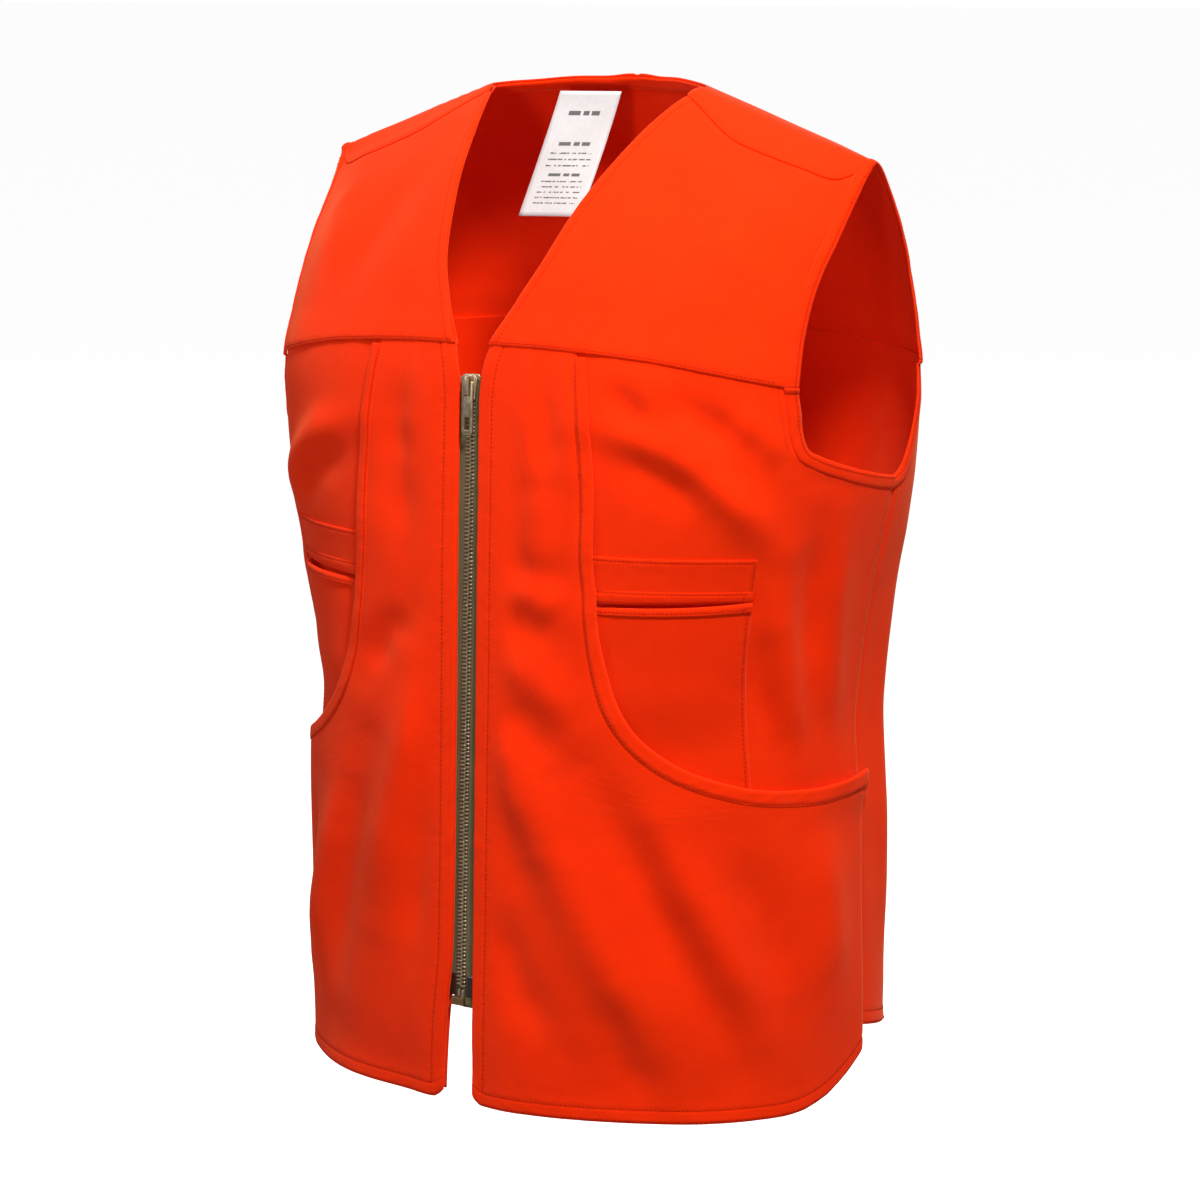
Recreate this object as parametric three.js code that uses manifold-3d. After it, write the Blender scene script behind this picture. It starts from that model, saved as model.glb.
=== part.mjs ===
// Blaze orange vest: a sleeveless field vest with shoulder yokes, a V neck, a two-way split front on a
// metal zip, slit chest pockets and curved apron pockets. Millimetres, +Z up, front faces -Y, +X is the
// right-hand side seen from the front. The origin is the middle of the shoulder line at the neck points.
import * as THREE from 'three';
import { mergeVertices } from 'three/addons/utils/BufferGeometryUtils.js';
import Module from 'manifold-3d';

// ---- driving dimensions -------------------------------------------------------------------------------
const HEM_Z = -645;            // front hem below the neck points
const CHEST_Z = -195;          // above this level the fronts lean back to the shoulder
const RIDGE_TOP = 29.4;        // shoulder line height carried to the middle of the neck
const RIDGE_FALL = 0.35;       // fall of the shoulder line per mm outwards
const ZIP_LEAN = 0.038;        // the zip line leans forward towards the hem
const FRONT_HEM_DEPTH = 165.3; // depth of the front at the hem
const ZIP_EDGE = 7.5;          // fabric edge to the middle of the zip
const CLOTH = 1.6;             // thickness of a doubled panel
const GAP = 0.4;               // clearance between neighbouring pieces
const HEM_BAND = 10, EDGE_BAND = 9;
const ZIP_TOP = -176, ZIP_END = -583, TAPE_WIDTH = 14;
const CHAIN_TOP = -181, CHAIN_END = -571.5, CHAIN_HALF = 3.2;
const SLIDER_LENGTH = 17, SLIDER_WIDTH = 12.4, PULL_LENGTH = 34, PULL_WIDTH = 8.6;
const LABEL = [42, 84];

// ---- the shape of the body ------------------------------------------------------------------------------
function table(xs, ys) {       // smooth curve through given stations
  const n = xs.length;
  const m = xs.map((_, i) => {
    const a = Math.max(i - 1, 0), b = Math.min(i + 1, n - 1);
    return (ys[b] - ys[a]) / (xs[b] - xs[a]);
  });
  return (x) => {
    if (x <= xs[0]) return ys[0];
    if (x >= xs[n - 1]) return ys[n - 1];
    let i = 0;
    while (x > xs[i + 1]) i++;
    const h = xs[i + 1] - xs[i], t = (x - xs[i]) / h, u = 1 - t;
    return ys[i] * u * u * (1 + 2 * t) + m[i] * h * t * u * u
      + ys[i + 1] * t * t * (3 - 2 * t) - m[i + 1] * h * t * t * u;
  };
}
const LEVELS = [-645, -560, -445, -390, -322, -251, -195];
const halfWidth = table(LEVELS, [204, 201, 198, 196, 205, 220, 224]);
const backDepth = table(LEVELS, [118, 112, 104, 102, 103, 108, 110]);
const squareness = table(LEVELS, [2.2, 2.2, 2.2, 2.2, 2.3, 2.45, 2.5]);
const shoulderWidth = table([0, 0.4, 0.7, 1], [224, 222, 219, 214]);
const frontDepth = (z) => FRONT_HEM_DEPTH - ZIP_LEAN * (z - HEM_Z);

// s: 0 centre .. 1 side seam (negative on the -X side). v: 0 front hem, 1 chest line, 2 shoulder line,
// 3 back chest line, 4 back hem.
function body(s, v) {
  const side = Math.sign(s), S = Math.min(Math.abs(s), 1), back = v > 2;
  const w = back ? 4 - v : v;
  const z1 = HEM_Z + (CHEST_Z - HEM_Z) * Math.min(Math.max(w, 0), 1);
  const n = squareness(z1), th = S * Math.PI / 2;
  const X = Math.sin(th) ** (2 / n), Y = Math.max(Math.cos(th), 0) ** (2 / n);
  const al = Math.min(Math.max(w - 1, 0), 1) * Math.PI / 2, t = Math.sin(al);
  const c = Math.max(Math.cos(al), 0);
  const x = (w > 1 ? shoulderWidth(t) : halfWidth(z1)) * X;
  const ridge = RIDGE_TOP - RIDGE_FALL * Math.hypot(x, 12);
  const z = w > 1 ? CHEST_Z + (ridge - CHEST_Z) * t : z1 + (w < 0 ? w * (CHEST_Z - HEM_Z) : 0);
  const y = (back ? backDepth(z1) * Y * c : -frontDepth(w > 1 ? z : z1) * Y * c ** 1.8) - 10 * t * t;
  return new THREE.Vector3(side * x, y, z);
}
function normal(s, v) {
  const e = 0.004, S = Math.max(Math.min(s, 1 - e), -1 + e);
  const a = body(S + e, v).sub(body(S - e, v)), b = body(S, v + e).sub(body(S, v - e));
  return a.cross(b).normalize();
}
function skin(s, v, d) {       // point d mm outside the body surface
  return body(s, v).addScaledVector(normal(s, v), d);
}
const sAt = (x, v) => {        // s of a point x mm from the centre line
  const w = v > 2 ? 4 - v : v;
  const z1 = HEM_Z + (CHEST_Z - HEM_Z) * Math.min(Math.max(w, 0), 1);
  const a = w > 1 ? shoulderWidth(Math.sin((w - 1) * Math.PI / 2)) : halfWidth(z1);
  return Math.asin(Math.min(x / a, 1) ** (squareness(z1) / 2)) * 2 / Math.PI;
};

// ---- sewing lines, as [s, v] stations on the +X side --------------------------------------------------------
const HEM_CORNER = 0.065;
const frontHem = (s) => HEM_CORNER * Math.max((s - 0.72) / 0.28, 0) ** 2;
const backHem = (s) => 3.95 - 0.05 * s * s;
const yokeSeam = table([0, 0.115, 0.3, 0.43, 0.64], [1.108, 1.115, 1.113, 1.1, 1.07]);
const vNeck = [[sAt(ZIP_EDGE, 1.055), 1.055], [0.018, 1.108], [0.043, 1.19], [0.07, 1.278], [0.098, 1.41],
  [0.123, 1.528], [0.155, 1.69], [0.183, 1.843]];
const neckline = [[0.19, 1.92], [0.201, 2.0], [0.159, 2.11], [0.078, 2.2], [0, 2.27]];
const armFront = [[1, 0.883], [0.94, 0.89], [0.85, 0.903], [0.742, 0.923], [0.688, 0.94], [0.66, 0.975],
  [0.65, 1.02], [0.642, 1.07]];
const armYoke = [[0.642, 1.07], [0.645, 1.15], [0.648, 1.22], [0.655, 1.31], [0.67, 1.398], [0.69, 1.477],
  [0.713, 1.58], [0.735, 1.678], [0.757, 1.775]];
const armShoulder = [[0.757, 1.775], [0.785, 1.89], [0.805, 2.0], [0.785, 2.15], [0.755, 2.32],
  [0.738, 2.48], [0.73, 2.64], [0.745, 2.8], [0.76, 2.9]];
const armBack = [[0.76, 2.9], [0.785, 2.96], [0.82, 3.01], [0.855, 3.045], [0.912, 3.085], [0.955, 3.107],
  [1, 3.117]];
const shoulderSeam = table([0.18, 0.312, 0.415, 0.55, 0.673, 0.76], [1.845, 1.73, 1.71, 1.702, 1.706, 1.775]);
const mouthEdge = [[0.19, 1.108], [0.205, 1.0], [0.222, 0.9], [0.242, 0.797], [0.262, 0.743],
  [0.275, 0.7], [0.302, 0.647], [0.333, 0.6], [0.377, 0.558], [0.443, 0.523], [0.512, 0.5], [0.585, 0.485],
  [0.65, 0.475], [0.728, 0.469], [0.828, 0.467], [0.91, 0.47], [1, 0.478]];
const mouthStitch = [[0.167, 1.108], [0.18, 1.0], [0.195, 0.9], [0.213, 0.797], [0.23, 0.75],
  [0.245, 0.7], [0.27, 0.64], [0.3, 0.59], [0.345, 0.545], [0.412, 0.506], [0.486, 0.481], [0.567, 0.464],
  [0.64, 0.453], [0.728, 0.446], [0.835, 0.443], [0.915, 0.445], [1, 0.45]];

// ---- building blocks --------------------------------------------------------------------------------------
const group = new THREE.Group();
function add(name, geometry, colour, roughness, metalness = 0) {
  const mesh = new THREE.Mesh(geometry, new THREE.MeshStandardMaterial({ color: colour, roughness, metalness }));
  mesh.name = name;
  group.add(mesh);
  return mesh;
}
const smooth = (a, b, x) => { const t = Math.min(Math.max((x - a) / (b - a), 0), 1); return t * t * (3 - 2 * t); };
const mix = (a, b, t) => a.map((q, i) => q + (b[i] - q) * t);
const mirror = (grid) => grid.map((row) => row.map(([s, v]) => [-s, v]));

// Rows of [s, v] between matched left and right stations, split evenly; `bend(row, u)` shifts v.
function rows(left, right, columns, split = 1, bend = null) {
  const out = [];
  for (let i = 0; i < left.length; i++) {
    for (let k = 0; k < (i < left.length - 1 ? split : 1); k++) {
      const t = k / split, j = Math.min(i + 1, left.length - 1);
      const L = mix(left[i], left[j], t), R = mix(right[i], right[j], t), row = [];
      for (let c = 0; c <= columns; c++) {
        const p = mix(L, R, c / columns);
        if (bend) p[1] += bend(out.length, p[0], c / columns, p[1]);
        row.push(p);
      }
      out.push(row);
    }
  }
  return out;
}
// A closed cloth solid from one or more grids that share their border stations.
function cloth(grids, inner, outer) {
  const key = new Map(), params = [], tris = [];
  const index = (p) => {
    const k = p.map((q) => Math.round(q * 1e5)).join();
    if (!key.has(k)) { key.set(k, params.length); params.push(p); }
    return key.get(k);
  };
  for (const grid of grids) {                       // wound so that the cloth's outside faces out
    let area = 0;
    const cells = [];
    for (let i = 0; i + 1 < grid.length; i++) {
      for (let j = 0; j + 1 < grid[i].length; j++) {
        const c = [grid[i][j], grid[i][j + 1], grid[i + 1][j + 1], grid[i + 1][j]];
        area += (c[2][0] - c[0][0]) * (c[3][1] - c[1][1]) - (c[3][0] - c[1][0]) * (c[2][1] - c[0][1]);
        cells.push(c.map(index));
      }
    }
    for (const q of cells) {
      for (const t of [[q[0], q[1], q[2]], [q[0], q[2], q[3]]]) {
        if (new Set(t).size === 3) tris.push(area > 0 ? t : [t[0], t[2], t[1]]);
      }
    }
  }
  const at = (f, [s, v]) => (typeof f === 'number' ? f : f(Math.abs(s), v));
  const top = params.map((p) => skin(p[0], p[1], at(outer, p)));
  const low = params.map((p) => skin(p[0], p[1], at(inner, p)));
  const n = params.length, faces = [], edge = new Map();
  for (const f of tris) {
    faces.push(f, [f[0] + n, f[2] + n, f[1] + n]);
    for (let e = 0; e < 3; e++) {
      const a = f[e], b = f[(e + 1) % 3], back = `${b},${a}`;
      if (edge.has(back)) edge.delete(back); else edge.set(`${a},${b}`, [a, b]);
    }
  }
  for (const [a, b] of edge.values()) faces.push([b, a, a + n], [b, a + n, b + n]);
  const g = new THREE.BufferGeometry();
  g.setAttribute('position', new THREE.Float32BufferAttribute([...top, ...low].flatMap((p) => [p.x, p.y, p.z]), 3));
  g.setIndex(faces.flat());
  return g;
}
// The line `mm` inside a sewing line, measured on the cloth.
function inset(line, mm, turn) {
  return line.map((p, i) => {
    const a = line[Math.max(i - 1, 0)], b = line[Math.min(i + 1, line.length - 1)];
    const here = body(...p), along = body(...b).sub(body(...a)).normalize();
    const want = normal(...p).cross(along).normalize().multiplyScalar(turn * mm);
    const e = 0.002, es = p[0] + e > 1 ? -e : e;
    const ds = body(p[0] + es, p[1]).sub(here).divideScalar(es);
    const dv = body(p[0], p[1] + e).sub(here).divideScalar(e);
    const A = ds.dot(ds), B = ds.dot(dv), C = dv.dot(dv), f = ds.dot(want), g = dv.dot(want), D = A * C - B * B;
    return [Math.min(p[0] + (f * C - g * B) / D, 1), p[1] + (g * A - f * B) / D];
  });
}
const pair = (name, grid, inner, outer, colour = ORANGE) => {
  add(`${name}_right`, cloth([grid], inner, outer), colour, 0.85);
  add(`${name}_left`, cloth([mirror(grid)], inner, outer), colour, 0.85);
};
const ORANGE = 0xff4a12, TAPE = 0x463c25, BRASS = 0xbaa28a, FILM = 0x3a2413, SATIN = 0xe9dedc;
const drop = (line, dv) => line.map(([s, v]) => [s, v + dv]);

// ---- lower fronts -------------------------------------------------------------------------------------------
const SEAM = 0.0016;           // half of the gap kept at a seam, in v
const zipEdge = (v) => [sAt(ZIP_EDGE, v), v];
const frontRight = [[1, HEM_CORNER], [1, 0.16], [1, 0.26], [1, 0.36], [1, 0.46], [1, 0.57], [1, 0.68], [1, 0.78],
  [1, 0.883], [0.85, 0.903], [0.742, 0.923], [0.672, 0.955], [0.65, 1.02], [0.642, 1.07 - SEAM]];
const frontLeft = [0, 0.11, 0.22, 0.33, 0.44, 0.55, 0.66, 0.75, 0.81, 0.86, 0.9, 0.95, 1.03, 1.108 - SEAM];
const hemBend = (hemRows, topRow) => (row, s, u) => {
  const low = row < hemRows ? (frontHem(s) - HEM_CORNER * u) * (1 - row / hemRows) : 0;
  const seam = yokeSeam(s) - (1.108 + (1.07 - 1.108) * u);
  return low + (row === topRow ? seam : row === topRow - 1 ? seam / 2 : 0);
};
const backEdge = (line) => line.map(([s, v]) => [Math.min(s, 0.9985), v]);
const frontEdge = frontLeft.map(zipEdge);
frontEdge[frontEdge.length - 1][0] = 0.0165;          // the neck starts here
pair('front_panel', rows(frontEdge, backEdge(frontRight), 9, 1, hemBend(2, 13)), 0, CLOTH);

// The apron lies on the front panel and stands off it to make the big curved pocket.
const lift = (s, v) => 9 * Math.sin(Math.PI * Math.min(Math.max((s - 0.06) / 0.94, 0), 1)) ** 0.75
  * smooth(0.02, 0.22, v) * (1 - smooth(0.52, 0.76, v));
const APRON_IN = CLOTH + 1.1;
const apronV = [0, 0.11, 0.22, 0.32, 0.4, 0.418, 0.434, 0.446, 0.458, 0.474, 0.494, 0.525, 0.575, 0.63, 0.69, 0.745,
  0.797, 0.9, 1.0, 1.108 - SEAM];
const apronEdge = [[1, HEM_CORNER], [1, 0.16], [1, 0.26], [1, 0.36], ...[...mouthStitch].reverse()];
apronEdge.splice(apronEdge.length - 1, 1, [0.167, 1.108 - SEAM]);
const stitchSide = apronEdge.map(([s, v], i) => (i < 5 ? [s, v - (i === 4 ? 0.002 : 0)] : [s - 0.0025, v - 0.002]));
const apronLeft = apronV.slice(0, stitchSide.length).map((v) => [sAt(ZIP_EDGE + 1.2, v), v]);
apronLeft[apronLeft.length - 1] = [0.0175, 1.108 - SEAM];
const apronBend = (row, s, u) => (row < 2 ? (frontHem(s) - HEM_CORNER * u) * (1 - row / 2) : 0);
pair('pocket_apron', rows(apronLeft, backEdge(stitchSide), 8, 1, apronBend),
  (s, v) => APRON_IN + lift(s, v), (s, v) => APRON_IN + CLOTH + lift(s, v));
pair('pocket_apron_binding', rows(backEdge(mouthStitch), backEdge(mouthEdge), 1),
  (s, v) => APRON_IN - 0.1 + lift(s, v), (s, v) => APRON_IN + 2.4 + lift(s, v));

// ---- chest pockets ---------------------------------------------------------------------------------------------
const POCKET_IN = CLOTH + GAP;
const patchLift = (s, v) => 7.8 * Math.sin(Math.PI * Math.min(Math.max((s - 0.3) / 0.33, 0), 1)) ** 0.7
  * smooth(0.52, 0.62, v);
pair('chest_pocket_band', rows([[0.268, 0.757], [0.256, 0.802]], [[0.618, 0.757], [0.613, 0.802]], 5),
  POCKET_IN, POCKET_IN + 1.4);
pair('chest_pocket_upper_welt', rows([[0.27, 0.741], [0.268, 0.754]], [[0.62, 0.741], [0.618, 0.754]], 5),
  POCKET_IN, POCKET_IN + 2.2);
pair('chest_pocket_lower_welt', rows([[0.279, 0.714], [0.276, 0.727]], [[0.62, 0.714], [0.62, 0.727]], 6),
  (s, v) => POCKET_IN + patchLift(s, v), (s, v) => POCKET_IN + 2.0 + patchLift(s, v));
const patchSide = [[0.283, 0.711], [0.309, 0.65], [0.34, 0.603], [0.384, 0.563], [0.448, 0.529], [0.516, 0.506],
  [0.588, 0.492], [0.62, 0.486]];
pair('chest_pocket_patch', rows(patchSide, [[0.62, 0.711], [0.63, 0.65], [0.638, 0.603], [0.644, 0.563],
  [0.648, 0.529], [0.651, 0.506], [0.652, 0.492], [0.653, 0.486]], 6),
  (s, v) => POCKET_IN + 0.6 + patchLift(s, v), (s, v) => POCKET_IN + 2.0 + patchLift(s, v));

// ---- hem and zip turnings on the inside, armhole edges outside ---------------------------------------------------
const hemS = [0, 0.12, 0.25, 0.37, 0.5, 0.6, 0.7, 0.78, 0.85, 0.91, 0.96, 0.9985];
const HEM_DV = HEM_BAND / (CHEST_Z - HEM_Z);
pair('front_hem', [0, 1].map((k) => hemS.map((s) => {
  const q = Math.max(s, sAt(ZIP_EDGE + 24, 0));
  return [q, frontHem(q) + 0.0006 + k * HEM_DV];
})), -2.8, -1.6);
const facingV = [0.001, 0.3, 0.6, 0.85, 1, 1.05];
pair('zip_facing', rows(facingV.map((v) => [sAt(ZIP_EDGE, v), v]), facingV.map((v) => [sAt(ZIP_EDGE + 22, v), v]), 2),
  -4.6, -3.4);
const inEdge = (line, mm, turn) => [inset(line, 0.2, turn), inset(line, mm, turn)];
const strip = (line, mm, turn) => {
  const [a, b] = inEdge(line, mm, turn);
  return rows(a, b, 1);
};
const shrink = (line, e) => [mix(line[0], line[1], e), ...line.slice(1, -1), mix(line.at(-1), line.at(-2), e)];
const armTurn = -1;
pair('armhole_binding_front', strip(shrink(armFront.map(([s, v]) => [Math.min(s, 0.998), v]), 0.15), EDGE_BAND, armTurn),
  CLOTH + GAP, CLOTH + GAP + 1.2);
pair('armhole_binding_yoke', strip(shrink(armYoke, 0.15), EDGE_BAND, armTurn), CLOTH + GAP, CLOTH + GAP + 1.2);
pair('armhole_binding_shoulder', strip(shrink(armShoulder, 0.12), EDGE_BAND, armTurn),
  CLOTH + GAP, CLOTH + GAP + 1.2);
pair('armhole_binding_back', strip(shrink(armBack.map(([s, v]) => [Math.min(s, 0.998), v]), 0.15), EDGE_BAND, armTurn),
  CLOTH + GAP, CLOTH + GAP + 1.2);

// ---- yokes ---------------------------------------------------------------------------------------------------------
const yokeLeft = [[0.018, 1.108 + SEAM], ...vNeck.slice(2)];
const yokeRight = [[0.642, 1.07 + SEAM], [0.645, 1.15], [0.65, 1.24], [0.667, 1.385], [0.695, 1.5], [0.725, 1.63],
  [0.757, 1.772]];
const last = yokeLeft.length - 1;
const yokeBend = (row, s, u) => {
  const seam = yokeSeam(s) - (1.108 + (1.07 - 1.108) * u), top = shoulderSeam(s) - (1.843 + (1.772 - 1.843) * u);
  return (row === 0 ? seam : row === 1 ? seam / 2 : 0)
    + (row === last ? top - 0.004 * Math.sin(Math.PI * u) : row === last - 1 ? top * 0.55 : row === last - 2 ? top * 0.2 : 0);
};
pair('front_yoke', rows(yokeLeft, yokeRight, 8, 1, yokeBend), 0, CLOTH);
pair('neck_facing', strip(shrink(vNeck.slice(1), 0.05), 8, -1), -GAP - 1.2, -GAP);

const yokeBackLeft = [[0, 2.9], [0, 2.75], [0, 2.6], [0, 2.45], [0, 2.27], [0.078, 2.2], [0.159, 2.11],
  [0.201, 2.0], [0.19, 1.92], [0.183, 1.849]];
const yokeBackRight = [[0.76, 2.9], [0.745, 2.8], [0.733, 2.7], [0.731, 2.58], [0.738, 2.46], [0.752, 2.33],
  [0.775, 2.2], [0.8, 2.05], [0.79, 1.92], [0.757, 1.779]];
const backYokeBend = (row, s, u) => {
  const top = shoulderSeam(s) + 0.005 - (1.849 + (1.779 - 1.849) * u);
  return row === 9 ? top : row === 8 ? top * 0.55 : row === 7 ? 0 : 0;
};
const halfYoke = rows(yokeBackLeft, yokeBackRight, 8, 1, backYokeBend);
add('back_yoke', cloth([halfYoke, mirror(halfYoke)], 0, CLOTH), ORANGE, 0.85);

const facing = rows([...neckline.slice(1)], inset([...neckline.slice(1)], 9, -1).map(([s, v], i, a) =>
  (i === a.length - 1 ? [0, v] : [s, v])), 1);
add('back_neck_facing', cloth([facing, mirror(facing)], -3.0, -1.8), ORANGE, 0.85);

// ---- back panel -------------------------------------------------------------------------------------------------------
const backLeft = [3.95, 3.84, 3.73, 3.62, 3.51, 3.4, 3.3, 3.2, 3.11, 3.07, 3.03, 2.99, 2.95, 2.9032].map((v) => [0, v]);
const backRight = [[1, 3.9], [1, 3.8], [1, 3.7], [1, 3.6], [1, 3.5], [1, 3.4], [1, 3.3], [1, 3.2], [1, 3.117],
  [0.94, 3.1], [0.88, 3.065], [0.82, 3.01], [0.79, 2.967], [0.76, 2.9032]];
const backBend = (row, s, u) => (row === 0 ? backHem(s) - (3.95 - 0.05 * u) : 0);
const halfBack = rows(backLeft, backEdge(backRight), 9, 1, backBend);
add('back_panel', cloth([halfBack, mirror(halfBack)], 0, CLOTH), ORANGE, 0.85);
const backHemS = [0, 0.125, 0.25, 0.375, 0.5, 0.625, 0.75, 0.86, 0.94, 0.9985];
const halfHem = [0, 1].map((k) => backHemS.map((s) => [s, backHem(s) - 0.0006 - k * HEM_DV]));
add('back_hem', cloth([halfHem, mirror(halfHem)], -2.8, -1.6), ORANGE, 0.85);

// ---- size label: hangs inside from the back neck facing ------------------------------------------------------------------
{
  const [w, l] = LABEL, g = new THREE.BoxGeometry(w, 1.0, l, 1, 1, 6).toNonIndexed();
  g.translate(0, 0, -l / 2);
  const p = g.attributes.position;
  for (let i = 0; i < p.count; i++) {                // it leans forward in a soft curve
    const t = -p.getZ(i) / l;
    p.setY(i, p.getY(i) - 30 * t ** 1.3);
    p.setX(i, p.getX(i) + 0.25 * p.getZ(i));         // and to one side
    p.setZ(i, p.getZ(i) * 0.965);
  }
  g.deleteAttribute('normal'); g.deleteAttribute('uv');
  g.rotateZ(0.35);
  const label = mergeVertices(g);
  const m = add('size_label', label, SATIN, 0.35);
  m.position.set(-24, 18, -2);
}

// ---- zip, in a frame along the leaning zip line ---------------------------------------------------------------------------
const zip = new THREE.Group();
zip.position.set(0, -frontDepth(ZIP_TOP), ZIP_TOP);
zip.rotation.x = -Math.atan(ZIP_LEAN);
group.add(zip);
const down = (z) => (z - ZIP_TOP) * Math.hypot(1, ZIP_LEAN);      // level to distance along the zip
function block(name, x0, x1, y0, y1, z0, z1, colour, roughness, metalness) {
  const g = new THREE.BoxGeometry(x1 - x0, y1 - y0, z1 - z0);
  g.translate((x0 + x1) / 2, (y0 + y1) / 2, (z0 + z1) / 2);
  const mesh = add(name, g, colour, roughness, metalness);
  zip.add(mesh);
}
for (const [side, name] of [[1, 'right'], [-1, 'left']]) {
  const span = (a, b) => (side > 0 ? [a, b] : [-b, -a]);
  const tapeEnd = down(side > 0 ? ZIP_END : -576.2);
  block(`zip_tape_${name}`, ...span(3.7, 3.7 + TAPE_WIDTH), 1.9, 2.7, tapeEnd, down(-178), TAPE, 0.9, 0);
  block(`zip_chain_${name}`, ...span(0.6, CHAIN_HALF), 0.4, 2.6, down(CHAIN_END), down(CHAIN_TOP), BRASS, 0.35, 0.9);
  block(`zip_top_stop_${name}`, ...span(0.8, CHAIN_HALF), 0.5, 2.5, down(-180.6), down(-178.2), BRASS, 0.35, 0.9);
  block(`zip_tape_film_${name}`, ...span(3.9, 15), 0.9, 1.6, down(-576.2), down(-562), FILM, 0.5, 0);
}
block('zip_insertion_pin', 0.6, 2.4, 0.8, 2.2, down(-581.5), down(-572), BRASS, 0.35, 0.9);
block('zip_retainer_pin', -2.4, -0.6, 0.8, 2.2, down(-575.6), down(-572), BRASS, 0.35, 0.9);

const wasm = await Module();
wasm.setup();
const solid = (g) => {
  const q = g.clone();
  q.deleteAttribute('normal'); q.deleteAttribute('uv');
  const m = mergeVertices(q, 1e-4);
  return new wasm.Manifold(new wasm.Mesh({ numProp: 3,
    vertProperties: new Float32Array(m.attributes.position.array), triVerts: new Uint32Array(m.index.array) }));
};
const geometry = (m) => {
  const mesh = m.getMesh(), g = new THREE.BufferGeometry();
  g.setAttribute('position', new THREE.BufferAttribute(new Float32Array(mesh.vertProperties), 3));
  g.setIndex(new THREE.BufferAttribute(new Uint32Array(mesh.triVerts), 1));
  return g;
};
const box = (x, y, z, cx, cy, cz) => new THREE.BoxGeometry(x, y, z).translate(cx, cy, cz);
// The retainer box holds the insertion pin: open at the top for the pin.
const boxBody = solid(box(9.6, 4.0, 5.4, -1.6, 1.5, down(-579.4)))
  .subtract(solid(box(3.0, 2.2, 10, 1.5, 1.5, down(-576.8))));
zip.add(add('zip_retainer_box', geometry(boxBody), 0x8d7350, 0.4, 0.85));

// Slider: two plates joined by a thin web between the chain halves, with a bridge for the pull.
const plate = (wTop, wBottom, y0, y1) => {
  const s = new THREE.Shape([[-wTop / 2 + 2, 0], [wTop / 2 - 2, 0], [wTop / 2, -3], [wBottom / 2, -SLIDER_LENGTH + 1.5],
    [wBottom / 2 - 1.5, -SLIDER_LENGTH], [-wBottom / 2 + 1.5, -SLIDER_LENGTH], [-wBottom / 2, -SLIDER_LENGTH + 1.5],
    [-wTop / 2, -3]].map(([a, b]) => new THREE.Vector2(a, b)));
  const g = new THREE.ExtrudeGeometry(s, { depth: y1 - y0, bevelEnabled: false });
  return g.rotateX(Math.PI / 2).translate(0, y1, 0);
};
const BAR = { y: -5.2, z: -5.2 };                     // middle of the bridge's cross bar
const slider = solid(plate(SLIDER_WIDTH, 9, -1.5, -0.2))
  .add(solid(plate(SLIDER_WIDTH, 9, 3.0, 4.2)))
  .add(solid(box(0.7, 3.6, SLIDER_LENGTH - 2, 0, 1.4, -SLIDER_LENGTH / 2)))
  .add(solid(box(3.4, 2.6, 1.6, 0, -2.6, -1.9)))
  .add(solid(box(3.4, 2.6, 1.6, 0, -2.6, -12.1)))
  .add(solid(box(3.4, 1.3, 11.8, 0, -4.5, -7.0)));
zip.add(add('zip_slider', geometry(slider), BRASS, 0.35, 0.9));

// Pull: a flat tab with two windows whose top loop turns round the bridge.
const tab = new THREE.Shape();
tab.moveTo(-PULL_WIDTH / 2 + 1, 3.2).lineTo(PULL_WIDTH / 2 - 1, 3.2).lineTo(PULL_WIDTH / 2, 2.2)
  .lineTo(PULL_WIDTH / 2, -PULL_LENGTH + 5).lineTo(PULL_WIDTH / 2 - 1.6, -PULL_LENGTH + 3.2)
  .lineTo(-PULL_WIDTH / 2 + 1.6, -PULL_LENGTH + 3.2).lineTo(-PULL_WIDTH / 2, -PULL_LENGTH + 5)
  .lineTo(-PULL_WIDTH / 2, 2.2).closePath();
const window_ = (x, z0, z1) => new THREE.Path().moveTo(-x, z0).lineTo(x, z0).lineTo(x, z1).lineTo(-x, z1).closePath();
tab.holes.push(window_(2.35, -6.4, 1.9), window_(2.2, -PULL_LENGTH + 6.4, -PULL_LENGTH + 14.4));
const pull = new THREE.ExtrudeGeometry(tab, { depth: 1.2, bevelEnabled: false });
pull.rotateX(Math.PI / 2).translate(0, -2.0, -7.6);
zip.add(add('zip_pull', pull, BRASS, 0.35, 0.9));

export default group;
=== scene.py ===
import math

import bmesh
import bpy
import numpy as np
from mathutils import Matrix, Vector


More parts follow.
